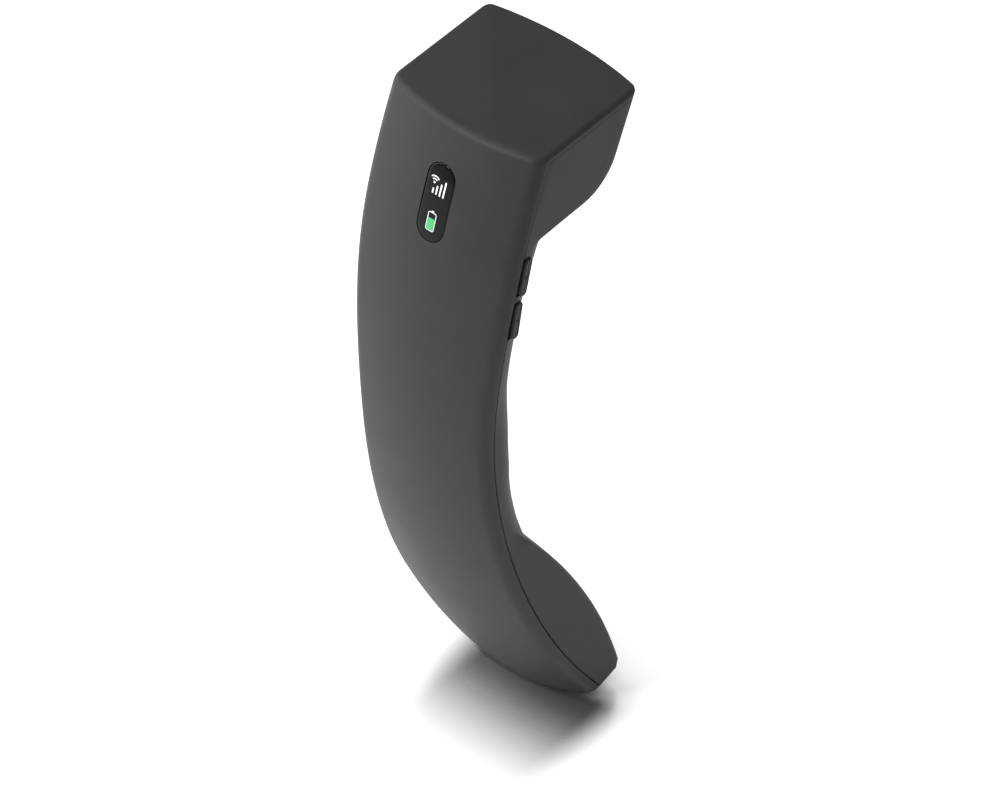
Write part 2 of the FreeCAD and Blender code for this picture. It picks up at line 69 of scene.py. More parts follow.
def smooth(part: float) -> float:
    """Ease a share from 0 to 1, held flat outside that range."""
    t = min(max(part, 0.0), 1.0)
    return t * t * (3.0 - 2.0 * t)


def eased(angle: float, band: Point) -> float:
    """How far an angle is into a band (start, end), eased from 0 to 1 and held outside it."""
    return smooth((angle - band[0]) / (band[1] - band[0]))


# ---- shader tools ---------------------------------------------------------------------


class Signal:
    """A number travelling through a shader tree, with Python arithmetic as Math nodes."""

    def __init__(self, graph: "Graph", socket: bpy.types.NodeSocket) -> None:
        """Wrap an output socket of a graph's tree."""
        self.graph = graph
        self.socket = socket

    def _math(self, operation: str, *values: "Signal | float") -> "Signal":
        """Add one Math node.

        Args:
            operation: Blender's name of the operation.
            values: the operands, signals or plain numbers, in order.

        Returns:
            The node's result.
        """
        links = {i: v.socket if isinstance(v, Signal) else v for i, v in enumerate(values)}
        node = self.graph.node("ShaderNodeMath", {"operation": operation}, links)
        return Signal(self.graph, node.outputs[0])

    def __add__(self, other: "Signal | float") -> "Signal":
        """Sum."""
        return self._math("ADD", self, other)

    def __radd__(self, other: float) -> "Signal":
        """Sum with a number on the left."""
        return self._math("ADD", other, self)

    def __sub__(self, other: "Signal | float") -> "Signal":
        """Difference."""
        return self._math("SUBTRACT", self, other)

    def __rsub__(self, other: float) -> "Signal":
        """Difference from a number on the left."""
        return self._math("SUBTRACT", other, self)

    def __mul__(self, other: "Signal | float") -> "Signal":
        """Product."""
        return self._math("MULTIPLY", self, other)

    def __rmul__(self, other: float) -> "Signal":
        """Product with a number on the left."""
        return self._math("MULTIPLY", other, self)

    def __abs__(self) -> "Signal":
        """Return this value without its sign."""
        return self._math("ABSOLUTE", self)

    def ramp(self, low: float, high: float) -> "Signal":
        """Stretch low to high over 0 to 1, eased and held at both ends.

        Args:
            low: where it starts to rise.
            high: where it reaches 1.

        Returns:
            The eased signal.
        """
        node = self.graph.node(
            "ShaderNodeMapRange",
            {"interpolation_type": "SMOOTHSTEP"},
            {"Value": self.socket, "From Min": low, "From Max": high},
        )
        return Signal(self.graph, node.outputs[0])


class Graph:
    """One material's node tree."""

    def __init__(self, name: str) -> None:
        """Start an empty material with its output node.

        Args:
            name: the material's name.
        """
        self.material = bpy.data.materials.new(name)
        self.material.use_nodes = True
        self.tree = self.material.node_tree
        self.tree.nodes.clear()

    def node(self, kind: str, settings: dict, inputs: dict) -> bpy.types.Node:
        """Add a node.

        Args:
            kind: the node's type name.
            settings: its properties, by name.
            inputs: values or output sockets for its inputs, by name or index.

        Returns:
            The new node.
        """
        made = self.tree.nodes.new(kind)
        for key, value in settings.items():
            setattr(made, key, value)
        for key, value in inputs.items():
            if isinstance(value, Signal):
                value = value.socket
            if isinstance(value, bpy.types.NodeSocket):
                self.tree.links.new(value, made.inputs[key])
            else:
                made.inputs[key].default_value = value
        return made

    def place(self) -> bpy.types.NodeSocket:
        """The object's own coordinates, in metres."""
        return self.node("ShaderNodeTexCoord", {}, {}).outputs["Object"]

    def noise(self, size: float, detail: float = 3.0, stretch: Sequence[float] = (1, 1, 1)) -> Signal:
        """Soft noise.

        Args:
            size: the width of one blotch, in millimetres.
            detail: how many finer layers it has.
            stretch: how much finer it is along each axis.

        Returns:
            A signal from 0 to 1.
        """
        mapping = self.node("ShaderNodeMapping", {}, {"Vector": self.place(), "Scale": stretch})
        inputs = {"Vector": mapping.outputs[0], "Scale": 1.0 / (size * MM), "Detail": detail}
        return Signal(self, self.node("ShaderNodeTexNoise", {}, inputs).outputs[0])

    def cells(self, size: float) -> Signal:
        """Distance to the nearest of many scattered grains of a size in millimetres."""
        inputs = {"Vector": self.place(), "Scale": 1.0 / (size * MM)}
        return Signal(self, self.node("ShaderNodeTexVoronoi", {}, inputs).outputs[0])

    def edges(self) -> Signal:
        """How sharply the surface turns outward: 0.5 on the flat and more along edges."""
        return Signal(self, self.node("ShaderNodeNewGeometry", {}, {}).outputs["Pointiness"])

    def mix(self, share: Signal, first: Sequence[float], second: Sequence[float]) -> bpy.types.NodeSocket:
        """Blend two colours.

        Args:
            share: 0 for the first colour and 1 for the second.
            first: a colour, or a colour socket.
            second: a colour, or a colour socket.

        Returns:
            The colour socket.
        """
        inputs = {0: share.socket, 6: first, 7: second}
        return self.node("ShaderNodeMix", {"data_type": "RGBA"}, inputs).outputs[2]

    def bump(self, height: Signal, depth: float) -> bpy.types.NodeSocket:
        """Relief of a depth in millimetres, as a normal."""
        inputs = {"Height": height.socket, "Distance": depth * MM, "Strength": 1.0}
        return self.node("ShaderNodeBump", {}, inputs).outputs[0]

    def finish(self, inputs: dict) -> bpy.types.Material:
        """Close the tree with a Principled shader that takes these inputs.

        Args:
            inputs: values or output sockets, by the name of the input.

        Returns:
            The material.
        """
        shader = self.node("ShaderNodeBsdfPrincipled", {}, inputs)
        self.node("ShaderNodeOutputMaterial", {}, {"Surface": shader.outputs[0]})
        return self.material


def rgba(colour: Sequence[float], gain: float = 1.0) -> tuple[float, float, float, float]:
    """A colour with its alpha, made lighter or darker by a gain."""
    return (colour[0] * gain, colour[1] * gain, colour[2] * gain, 1.0)


# ---- finishes -------------------------------------------------------------------------


@dataclass(frozen=True)
class MouldedPlastic:
    """Moulded plastic with a fine spark-eroded grain, slight mottling and rubbed edges."""

    name: str
    colour: tuple[float, float, float]
    roughness: float = 0.52
    grain: float = 0.32
    grain_depth: float = 0.012
    mottle: float = 0.10
    wear: float = 0.35
    coat: float = 0.0
    specular: float = 0.2

    def material(self) -> bpy.types.Material:
        """Build the node tree.

        Returns:
            The finished material.
        """
        graph = Graph(self.name)
        blotch = graph.noise(14.0, 4.0)
        speck = graph.noise(0.5, 2.0)
        grain = graph.noise(self.grain, 2.0)
        shade = (blotch * 0.7 + speck * 0.3).ramp(0.3, 0.7)
        body = graph.mix(shade, rgba(self.colour, 1 - self.mottle), rgba(self.colour, 1 + self.mottle))
        rub = graph.edges().ramp(0.52, 0.62) * blotch.ramp(0.35, 0.6) * self.wear
        return graph.finish({
            "Base Color": graph.mix(rub, body, rgba(self.colour, 1.9)),
            "Roughness": self.roughness + (blotch - 0.5) * 0.16 + (speck - 0.5) * 0.10 - rub * 0.2,
            "Normal": graph.bump(grain, self.grain_depth),
            "Coat Weight": self.coat,
            "Coat Roughness": 0.12,
            "Specular IOR Level": self.specular,
        })


@dataclass(frozen=True)
class PolishedLens:
    """Hard gloss plastic with faint dust and hairline handling marks."""

    name: str
    colour: tuple[float, float, float]
    roughness: float = 0.06
    coat: float = 0.03
    specular: float = 0.14

    def material(self) -> bpy.types.Material:
        """Build the node tree.

        Returns:
            The finished material.
        """
        graph = Graph(self.name)
        haze = graph.noise(6.0, 3.0)
        hairline = graph.noise(0.8, 2.0, (1.0, 1.0, 0.08)).ramp(0.62, 0.72)
        rough = self.roughness + haze * 0.06 + hairline * 0.08
        return graph.finish({
            "Base Color": graph.mix(haze, rgba(self.colour, 0.8), rgba(self.colour, 1.3)),
            "Roughness": rough,
            "Normal": graph.bump(haze, 0.004),
            "Coat Weight": self.coat,
            "Coat Roughness": 0.04,
            "Specular IOR Level": self.specular,
        })


@dataclass(frozen=True)
class SoftRubber:
    """Moulded or foamed rubber: fully dull, with a fine cellular surface."""

    name: str
    colour: tuple[float, float, float]
    cell: float = 0.5
    depth: float = 0.02

    def material(self) -> bpy.types.Material:
        """Build the node tree.

        Returns:
            The finished material.
        """
        graph = Graph(self.name)
        cell = graph.cells(self.cell)
        dust = graph.noise(4.0, 4.0).ramp(0.4, 0.75)
        return graph.finish({
            "Base Color": graph.mix(dust, rgba(self.colour, 0.9), rgba(self.colour, 1.35)),
            "Roughness": 0.72 + dust * 0.12,
            "Normal": graph.bump(cell, self.depth),
            "Specular IOR Level": 0.35,
        })


@dataclass(frozen=True)
class SheetMetal:
    """Thin formed metal with rolled grain, smudges and brighter rubbed edges."""

    name: str
    colour: tuple[float, float, float]
    roughness: float = 0.3
    rolled: tuple[float, float, float] = (0.12, 1.0, 1.0)

    def material(self) -> bpy.types.Material:
        """Build the node tree.

        Returns:
            The finished material.
        """
        graph = Graph(self.name)
        streak = graph.noise(0.25, 3.0, self.rolled)
        smudge = graph.noise(3.0, 4.0).ramp(0.35, 0.7)
        rub = graph.edges().ramp(0.52, 0.6) * 0.5
        body = graph.mix(smudge, rgba(self.colour), rgba(self.colour, 0.78))
        return graph.finish({
            "Base Color": graph.mix(rub, body, rgba(self.colour, 1.25)),
            "Metallic": 1.0,
            "Roughness": self.roughness + smudge * 0.15 + (streak - 0.5) * 0.12,
            "Normal": graph.bump(streak, 0.004),
        })


@dataclass(frozen=True)
class SolderMask:
    """A circuit board's lacquer over copper tracks that just show through."""

    name: str
    colour: tuple[float, float, float]

    def material(self) -> bpy.types.Material:
        """Build the node tree.

        Returns:
            The finished material.
        """
        graph = Graph(self.name)
        track = graph.node(
            "ShaderNodeTexBrick",
            {"offset": 0.5, "squash": 1.0},
            {"Vector": graph.place(), "Scale": 260.0, "Mortar Size": 0.03, "Mortar Smooth": 0.3},
        )
        line = Signal(graph, track.outputs["Fac"])
        blotch = graph.noise(2.5, 3.0)
        shade = graph.mix(blotch, rgba(self.colour, 0.85), rgba(self.colour, 1.15))
        return graph.finish({
            "Base Color": graph.mix(line * 0.6, shade, rgba(self.colour, 1.8)),
            "Roughness": 0.32 + blotch * 0.12,
            "Normal": graph.bump(line, 0.02),
        })


@dataclass(frozen=True)
class WovenCloth:
    """A fine woven dust cloth."""

    name: str
    colour: tuple[float, float, float]
    pitch: float = 0.35

    def material(self) -> bpy.types.Material:
        """Build the node tree.

        Returns:
            The finished material.
        """
        graph = Graph(self.name)
        bands = []
        for direction in ("X", "Z"):
            wave = graph.node(
                "ShaderNodeTexWave",
                {"bands_direction": direction},
                {"Vector": graph.place(), "Scale": 0.3 / (self.pitch * MM), "Distortion": 0.4},
            )
            bands.append(Signal(graph, wave.outputs["Fac"]))
        weave = bands[0] * bands[1]
        return graph.finish({
            "Base Color": graph.mix(weave, rgba(self.colour, 0.6), rgba(self.colour, 1.6)),
            "Roughness": 0.85 - weave * 0.1,
            "Normal": graph.bump(weave, 0.05),
        })


@dataclass(frozen=True)
class LitInk:
    """A lit mark under the lens, its light a little uneven."""

    name: str
    colour: tuple[float, float, float]
    strength: float = 1.0

    def material(self) -> bpy.types.Material:
        """Build the node tree.

        Returns:
            The finished material.
        """
        graph = Graph(self.name)
        grain = graph.noise(0.25, 2.0)
        glow = graph.mix(grain.ramp(0.2, 0.8), rgba(self.colour, 0.82), rgba(self.colour))
        return graph.finish({
            "Base Color": glow,
            "Emission Color": glow,
            "Emission Strength": self.strength,
            "Roughness": 0.25 + grain * 0.1,
        })


@dataclass(frozen=True)
class StudioFloor:
    """A pale floor that glows a little, with a painted contact shadow and reflection close to its middle:
    there the glow is taken out and the floor turns to a mirror.

    The lengths are in millimetres. Sideways the painted shadow and mirror patch is full out to half_width and
    gone at half_gone, either side of middle. Front to back it rises from front_gone to front_full, and falls
    again from back_full to back_gone.
    """

    name: str
    colour: tuple[float, float, float]
    glow: float = 0.3
    shadow_mirror_strength: float = 0.95
    middle: float = 9.5
    half_width: float = 17.0
    half_gone: float = 31.0
    front_gone: float = -50.0
    front_full: float = 9.0
    back_full: float = 11.0
    back_gone: float = 24.0

    def material(self) -> bpy.types.Material:
        """Build the node tree.

        Returns:
            The finished material.
        """
        graph = Graph(self.name)
        spot = graph.node("ShaderNodeSeparateXYZ", {}, {0: graph.place()})
        across, along = Signal(graph, spot.outputs[0]), Signal(graph, spot.outputs[1])
        sides = abs(across - self.middle * MM).ramp(self.half_width * MM, self.half_gone * MM)
        rise = along.ramp(self.front_gone * MM, self.front_full * MM)
        fall = along.ramp(self.back_full * MM, self.back_gone * MM)
        # Painted contact shadow and reflection: a patch near the handset, placed where its reflection falls
        # in this view, loses the glow and turns to a mirror.
        painted_shadow_mirror = rise * (0.5 + 0.5 * rise) * (1.0 - fall) * (1.0 - sides)
        cloud = graph.noise(220.0, 2.0)
        return graph.finish({
            "Base Color": graph.mix(cloud, rgba(self.colour, 0.985), rgba(self.colour)),
            "Metallic": painted_shadow_mirror * self.shadow_mirror_strength,
            "Roughness": 0.32 - painted_shadow_mirror * 0.22 + cloud * 0.03,
            "Specular IOR Level": 0.4,
            # The glow is taken out over the painted shadow patch, so the floor is darker there.
            "Emission Color": graph.mix(painted_shadow_mirror, (1.0, 1.0, 1.0, 1.0), (0.0, 0.0, 0.0, 1.0)),
            "Emission Strength": self.glow,
        })


class Finish(Enum):
    """Every finish of the handset, named after the record's material slots."""

    SHELL = "shell_plastic"
    LENS = "window_gloss"
    PANEL = "display_glass"
    KEY = "key_plastic"
    SWITCH = "switch_black"
    BOARD = "board_green"
    CHIP = "chip_black"
    SHIELD = "tinned_steel"
    SPRING = "spring_brass"
    POUCH = "battery_foil"
    FOAM = "foam_black"
    SPEAKER = "speaker_black"
    CLOTH = "mesh_cloth"
    CAPSULE = "mic_can"
    RUBBER = "soft_rubber"
    SOCKET = "socket_steel"
    SCREW = "screw_steel"
    RED_WIRE = "wire_red"
    WHITE_WIRE = "wire_white"
    WHITE_ICON = "icon_white"
    GREEN_ICON = "icon_green"


class Palette:
    """Makes each finish once and hands it out."""

    RECIPES = {
        Finish.SHELL: MouldedPlastic("shell_plastic", (0.022, 0.022, 0.023)),
        Finish.LENS: PolishedLens("window_gloss", (0.0015, 0.0015, 0.002)),
        Finish.PANEL: PolishedLens("display_glass", (0.01, 0.01, 0.014), 0.1),
        Finish.KEY: MouldedPlastic("key_plastic", (0.012, 0.012, 0.013), 0.5, 0.25, 0.01),
        Finish.SWITCH: MouldedPlastic("switch_black", (0.03, 0.03, 0.03), 0.4, 0.2, 0.006),
        Finish.BOARD: SolderMask("board_green", (0.015, 0.11, 0.055)),
        Finish.CHIP: MouldedPlastic("chip_black", (0.02, 0.02, 0.022), 0.55, 0.15, 0.008),
        Finish.SHIELD: SheetMetal("tinned_steel", (0.62, 0.62, 0.6), 0.28),
        Finish.SPRING: SheetMetal("spring_brass", (0.72, 0.53, 0.25), 0.25),
        Finish.POUCH: SheetMetal("battery_foil", (0.62, 0.63, 0.64), 0.38, (1, 1, 1)),
        Finish.FOAM: SoftRubber("foam_black", (0.03, 0.03, 0.03), 0.6, 0.08),
        Finish.SPEAKER: MouldedPlastic("speaker_black", (0.03, 0.03, 0.033), 0.4),
        Finish.CLOTH: WovenCloth("mesh_cloth", (0.03, 0.03, 0.03)),
        Finish.CAPSULE: SheetMetal("mic_can", (0.7, 0.7, 0.7), 0.2),
        Finish.RUBBER: SoftRubber("soft_rubber", (0.035, 0.035, 0.037)),
        Finish.SOCKET: SheetMetal("socket_steel", (0.6, 0.6, 0.6), 0.22),
        Finish.SCREW: SheetMetal("screw_steel", (0.25, 0.25, 0.26), 0.3),
        Finish.RED_WIRE: SoftRubber("wire_red", (0.4, 0.03, 0.02), 0.4, 0.005),
        Finish.WHITE_WIRE: SoftRubber("wire_white", (0.6, 0.6, 0.58), 0.4, 0.005),
        Finish.WHITE_ICON: LitInk("icon_white", (0.8, 0.82, 0.84), 0.3),
        Finish.GREEN_ICON: LitInk("icon_green", (0.03, 0.36, 0.1), 0.3),
    }

    def __init__(self) -> None:
        """Start with nothing mixed."""
        self.made: dict[Finish, bpy.types.Material] = {}

    def get(self, finish: Finish) -> bpy.types.Material:
        """The material of a finish, made on first use.

        Args:
            finish: which one.

        Returns:
            The material.
        """
        if finish not in self.made:
            self.made[finish] = self.RECIPES[finish].material()
        return self.made[finish]


# ---- the handset's form ---------------------------------------------------------------


@dataclass(frozen=True)
class Arc:
    """The large arc that the whole handset follows, about an axis along X."""

    axis_y: float
    axis_z: float
    radius: float = 200.0

    def point(self, angle: float, radius: float) -> np.ndarray:
        """The (y, z) of an angle above straight back and a distance from the axis."""
        a = math.radians(angle)
        return np.array([self.axis_y - radius * math.cos(a), self.axis_z + radius * math.sin(a)])

    def frame(self, angle: float, radius: float, x: float = 0.0) -> Matrix:
        """A placement in millimetres whose +Z points away from the axis and +Y up the arc.

        Args:
            angle: where on the arc.
            radius: how far from the axis.
            x: how far to the side.

        Returns:
            The placement.
        """
        y, z = self.point(angle, radius)
        return Matrix.Translation((x, y, z)) @ Matrix.Rotation(math.radians(90 - angle), 4, "X")


@dataclass
class Slice:
    """One planar slice across the case: where it meets the seam, and how its front is cut."""

    seam: np.ndarray
    slope: float
    angle: float
    grip: float = 0.0
    block: float = 0.0
    pad: float = 0.0
    inset_back: float = 0.0
    inset_front: float = 0.0
    lip: float = 1.0

    @property
    def tight(self) -> float:
        """How wide the seam stands open here: almost shut beside the ear block."""
        return TIGHT_SEAM + (1 - TIGHT_SEAM) * eased(self.angle, TIGHT_BAND)


@dataclass
class CaseForm:
    """The outer surface of the case: a crowned back, flat sides and a shaped front."""

    arc: Arc
    height: float
    half_width: float = 25.0
    waist: float = 3.2
    waist_angle: float = -4.5
    waist_up: float = 20.0
    waist_down: float = 29.5
    corner: float = 4.0
    crown_top: float = 3.65
    crown_end: float = 6.2
    top_angle: float = 24.8
    end_angle: float = -36.5
    handle_depth: float = 10.5
    handle_round: float = 8.8
    block_round: float = 2.8
    pad_round: float = 1.2
    grip_taper: float = 0.2
    grip_arch: float = 2.0
    ear_blend: float = 2.2
    pad_blend: float = 0.7
    ear_rise: float = 2.9
    handle_rise: float = 0.6
    pad_rise: float = 1.8
    ear_top: Point = (33.6, 0.0)
    ear_turn: Point = (25.8, 17.6)
    ear_radius: float = 14.0
    ear_slope: float = 2.0
    pad_start: Point = (-7.3, 128.6)
    pad_middle: Point = (12.7, 159.6)
    pad_tip: Point = (28.4, 198.8)
    end_front: Point = (28.0, 201.2)
    end_back: Point = (20.4, 203.4)
    edge: float = 1.5
    end_edge: float = 0.9
    skirt: float = 2.2
    skirt_gap: float = 0.04
    skirt_lip: float = 0.1
    gap: float = 0.1
    lip: float = 0.28
    level_band: Point = (24.0, 19.5)
    dip_band: Point = (19.0, 11.0)
    end_band: Point = (-28.0, -35.9)
    arch_bands: tuple[Point, Point] = ((-3.0, -10.0), (1.0, 6.0))
    upper_taper: tuple[Point, Point] = ((-2.0, 4.0), (19.0, 11.0))
    lower_taper: tuple[Point, Point] = ((-5.0, -10.0), (-15.0, -12.0))
    block_lead: float = 6.0
    block_tail: float = 40.0
    pad_lead: float = 25.0
    pad_steps: int = 90
    block_above: float = 8.0
    pad_below: float = -5.0
    grip_hidden: float = -32.0
    hidden_depth: float = 1.0
    fine_bands: tuple[Point, Point] = ((15.5, 24.0), (-16.5, -9.0))
    fine_step: float = 0.12
    coarse_step: float = 0.32
    last_step: float = 0.75
    bend_width: float = 2.4
    face_width: float = 9.5
    bend_steps: int = 13
    face_steps: int = 12
    corner_steps: int = 7
    crown_steps: int = 36
    side_steps: int = 10
    rim_steps: int = 6
    end_steps: int = 5
    turn_steps: int = 32

    def half(self, angle: float) -> float:
        """Half the width at an angle, with the waist below the middle of the handle.

        Args:
            angle: an angle on the arc, in degrees.

        Returns:
            Half the width.
        """
        span = self.waist_up if angle > self.waist_angle else self.waist_down
        part = min(abs(angle - self.waist_angle) / span, 1.0)
        return self.half_width - self.waist * math.cos(math.pi / 2 * part) ** 2

    def crown(self, angle: float) -> float:
        """Radius of the back's crown at an angle.

        Args:
            angle: an angle on the arc, in degrees.

        Returns:
            The radius.
        """
        part = (self.top_angle - angle) / (self.top_angle - self.end_angle)
        rise = self.crown_top + part * (self.crown_end - self.crown_top)
        return (self.half_width ** 2 + rise ** 2) / (2 * rise)

    def rounded_cap(self, half: float, centre: float, crown: float, corner: float) -> np.ndarray:
        """Half of a crowned cap with a round corner, in a plane across the case.

        Args:
            half: half the width between the flat sides.
            centre: height of the crown's centre of curvature.
            crown: the crown's radius.
            corner: the corner's radius, tangent to the side and to the crown.

        Returns:
            Points (x, height) from the side's tangent point to the middle of the crown.
        """
        x0 = half - corner
        h0 = centre + math.sqrt((crown - corner) ** 2 - x0 ** 2)
        lean = math.atan2(x0, h0 - centre)
        points = []
        for i in range(self.corner_steps):
            turn = math.radians(90) + (lean - math.radians(90)) * i / self.corner_steps
            points.append((x0 + corner * math.sin(turn), h0 + corner * math.cos(turn)))
        half_steps = self.crown_steps // 2
        for i in range(half_steps + 1):
            turn = lean * (1 - i / half_steps)
            points.append((crown * math.sin(turn), centre + crown * math.cos(turn)))
        return np.array(points)

    def back_centre(self, angle: float) -> float:
        """Height of the back crown's centre above the seam arc: it is well below it."""
        half = self.half(angle) - self.corner
        return -math.sqrt((self.crown(angle) - self.corner) ** 2 - half ** 2)

    def back_radius(self, x: float, angle: float) -> float:
        """Distance from the arc's axis to the back's outer surface on its crown."""
        crown = self.crown(angle)
        return self.arc.radius + self.back_centre(angle) + math.sqrt(crown ** 2 - x ** 2)

    def side_point(self, spot: Point) -> np.ndarray:
        """The (y, z) of a side-outline spot: y from the top seam corner, depth below the top."""
        top_seam = self.arc.point(self.top_angle, self.arc.radius)
        return np.array([top_seam[0] + spot[0], self.height - spot[1]])

    def block_outline(self) -> np.ndarray:
        """The ear block's face, its turn and its underside, in side view.

        Returns:
            Points (y, z) from above the block to behind the handle.
        """
        top, turn = self.side_point(self.ear_top), self.side_point(self.ear_turn)
        lean = (turn - top) / np.linalg.norm(turn - top)
        centre = turn + self.ear_radius * np.array([lean[1], -lean[0]])
        first = math.atan2(*(turn - centre)[::-1])
        last = math.radians(self.ear_slope - 90)
        points = [top - lean * self.block_lead, turn]
        for i in range(1, self.turn_steps + 1):
            a = first + (last - first) * i / self.turn_steps
            points.append(centre + self.ear_radius * np.array([math.cos(a), math.sin(a)]))
        points.append(points[-1] + self.block_tail * np.array([math.sin(last), -math.cos(last)]))
        return np.array(points)

    def grip_outline(self) -> np.ndarray:
        """The handle's inner side, an arc inside the seam's arc."""
        inner = self.arc.radius - self.handle_depth
        return np.array([self.arc.point(30 - 0.5 * i, inner) for i in range(140)])

    def pad_outline(self) -> np.ndarray:
        """The mouthpiece pad's curve, carried on behind the handle, down to the narrow end."""
        tip = [self.side_point(self.end_front), self.side_point(self.end_back)]
        return np.array(list(self.pad_curve(self.pad_steps)) + tip)

    def pad_curve(self, steps: int) -> list[np.ndarray]:
        """The mouthpiece pad's long shallow curve, through its start, middle and tip.

        Args:
            steps: how many points it has.

        Returns:
            Points (y, z), from behind the handle to the tip.
        """
        a, b, c = (self.side_point(p) for p in (self.pad_start, self.pad_middle, self.pad_tip))
        rows = 2 * np.array([b - a, c - a])
        centre = np.linalg.solve(rows, np.array([b @ b - a @ a, c @ c - a @ a]))
        radius = np.linalg.norm(a - centre)
        ends = [math.atan2(p[1] - centre[1], p[0] - centre[0]) for p in (a, c)]
        turns = np.linspace(ends[0] + self.pad_lead / radius, ends[1], steps)
        return [centre + radius * np.array([math.cos(t), math.sin(t)]) for t in turns]

    def reach(self, outline: np.ndarray, seam: np.ndarray, slope: float) -> float:
        """How far a slice runs from the seam to the front outline.

        Args:
            outline: the front outline.
            seam: where the slice starts.
            slope: its rise towards the front, in degrees.

        Returns:
            The distance to the nearest crossing in front of the seam, or 0 if there is none.
        """
        a = math.radians(slope)
        along = np.array([math.cos(a), math.sin(a)])
        rel = outline - seam
        side = along[0] * rel[:, 1] - along[1] * rel[:, 0]
        out = rel @ along
        hits = []
        for i in np.nonzero(side[:-1] * side[1:] <= 0)[0]:
            share = side[i] / (side[i] - side[i + 1] + 1e-12)
            hits.append(out[i] + share * (out[i + 1] - out[i]))
        return max([h for h in hits if h > 0.0], default=0.0)

    def slope(self, angle: float) -> float:
        """How a slice tilts: level at the top, square to the arc, then along the end face.

        Args:
            angle: an angle on the arc, in degrees.

        Returns:
            The slice's rise towards the front, in degrees.
        """
        end = math.degrees(math.atan2(
            self.end_back[1] - self.end_front[1], self.end_front[0] - self.end_back[0]))
        square = eased(angle, self.level_band)
        dip = square * (1 - eased(angle, self.dip_band))
        last = eased(angle, self.end_band)
        return -angle * square * (1 - last) - self.level_band[0] * dip + end * last

    def body_slices(self) -> list[Slice]:
        """The slices from just under the top skirt to just before the end face.

        Returns:
            The slices in order down the case, with their front depth and rounding.
        """
        first = math.degrees(math.asin(
            (self.height - self.skirt - 3 * self.skirt_gap - self.skirt_lip - self.arc.axis_z)
            / self.arc.radius))
        angles = [first]
        while angles[-1] > self.end_angle + self.last_step:
            fine = any(low < angles[-1] < high for low, high in self.fine_bands)
            angles.append(angles[-1] - (self.fine_step if fine else self.coarse_step))
        return [self.measured(self.arc.point(a, self.arc.radius), self.slope(a), a) for a in angles]

    def measured(self, seam: np.ndarray, slope: float, angle: float) -> Slice:
        """A slice with its reach to each front outline.

        Args:
            seam: where it starts.
            slope: its rise towards the front, in degrees.
            angle: the arc angle it belongs to.

        Returns:
            The slice.
        """
        grip = self.reach(self.grip_outline(), seam, slope)
        block = self.reach(self.block_outline(), seam, slope) if angle > self.block_above else 0.0
        pad = self.reach(self.pad_outline(), seam, slope) if angle < self.pad_below else 0.0
        if angle < self.grip_hidden:
            grip = min(grip, pad - self.hidden_depth)
        return Slice(seam, slope, angle, grip, block, pad)

    def level_slice(self, z: float) -> Slice:
        """A level slice at a height near the top.

        Args:
            z: the height.

        Returns:
            The slice.
        """
        angle = math.degrees(math.asin((z - self.arc.axis_z) / self.arc.radius))
        made = self.measured(self.arc.point(angle, self.arc.radius), 0.0, angle)
        made.lip = 0.0
        return made

    def top_slices(self) -> list[Slice]:
        """The rounded rim of the top wall and its short skirt, from the top down.

        Returns:
            The slices in order.
        """
        slices = []
        for i in range(self.rim_steps + 1):
            turn = math.radians(90 * (1 - i / self.rim_steps))
            made = self.level_slice(self.height - self.edge * (1 - math.sin(turn)))
            made.inset_back = made.inset_front = self.edge * (1 - math.cos(turn))
            slices.append(made)
        for a in EDGE_TURNS[::-1]:
            z = self.height - self.skirt + self.skirt_lip * (1 - math.sin(a))
            made = self.level_slice(z)
            made.inset_front = self.skirt_lip * (1 - math.cos(a))
            slices.append(made)
        return slices

    def front_rim_slices(self) -> list[Slice]:
        """The rounded upper rim of the front shell, under the skirt.

        Returns:
            The slices, from the top down.
        """
        slices = []
        for a in EDGE_TURNS[:3]:
            z = self.height - self.skirt - 2 * self.skirt_gap - self.skirt_lip * (1 - math.sin(a))
            made = self.level_slice(z)
            made.inset_front = self.skirt_lip * (1 - math.cos(a))
            made.lip = 1.0
            slices.append(made)
        return slices

    def end_slices(self) -> list[Slice]:
        """The rounded rim of the end face, after the last body slice.

        Returns:
            The slices, outward to the end face.
        """
        back, front = self.side_point(self.end_back), self.side_point(self.end_front)
        along = (front - back) / np.linalg.norm(front - back)
        outward = np.array([along[1], -along[0]])
        slope = math.degrees(math.atan2(along[1], along[0]))
        depth = float((front - back) @ along)
        slices = []
        for i in range(self.end_steps + 1):
            turn = math.radians(90 * i / self.end_steps)
            seam = back - outward * self.end_edge * (1 - math.sin(turn))
            made = Slice(seam, slope, self.end_angle, depth - self.hidden_depth, 0.0, depth)
            made.inset_back = made.inset_front = self.end_edge * (1 - math.cos(turn))
            slices.append(made)
        return slices

    def seam_edge(self, s: Slice, half: float, side: int) -> list[Point]:
        """The small round edge where a shell meets the seam.

        Args:
            s: the slice.
            half: half the width of the slice.
            side: 1 on the front shell and -1 on the back one.

        Returns:
            Points (x, distance in front of the seam), from the seam outward.
        """
        gap, lip = self.gap * s.tight, self.lip * s.tight
        return [(half - s.lip * lip * (1 - math.cos(a)), side * (gap + lip * (1 - math.sin(a))))
                for a in EDGE_TURNS]

    def back_columns(self, s: Slice) -> np.ndarray:
        """A slice's back, from the right seam to the left one.

        Args:
            s: the slice.

        Returns:
            Points (x, distance in front of the seam), so the second is negative.
        """
        inset = s.inset_back
        half = self.half(s.angle) - inset
        cap = self.rounded_cap(
            half, self.back_centre(s.angle), self.crown(s.angle) - inset, self.corner - inset)
        level = self.arc.radius * math.cos(math.radians(s.slope + s.angle))
        outer = self.arc.radius + cap[:, 1]
        cap[:, 1] = level - np.sqrt(level ** 2 + outer ** 2 - self.arc.radius ** 2)
        cap = cap[cap[:, 1] < -(self.gap + self.lip) * 1.15]
        right = np.vstack([self.seam_edge(s, half, -1), cap])
        left = right[:-1][::-1] * np.array([-1, 1])
        return np.vstack([right, left])

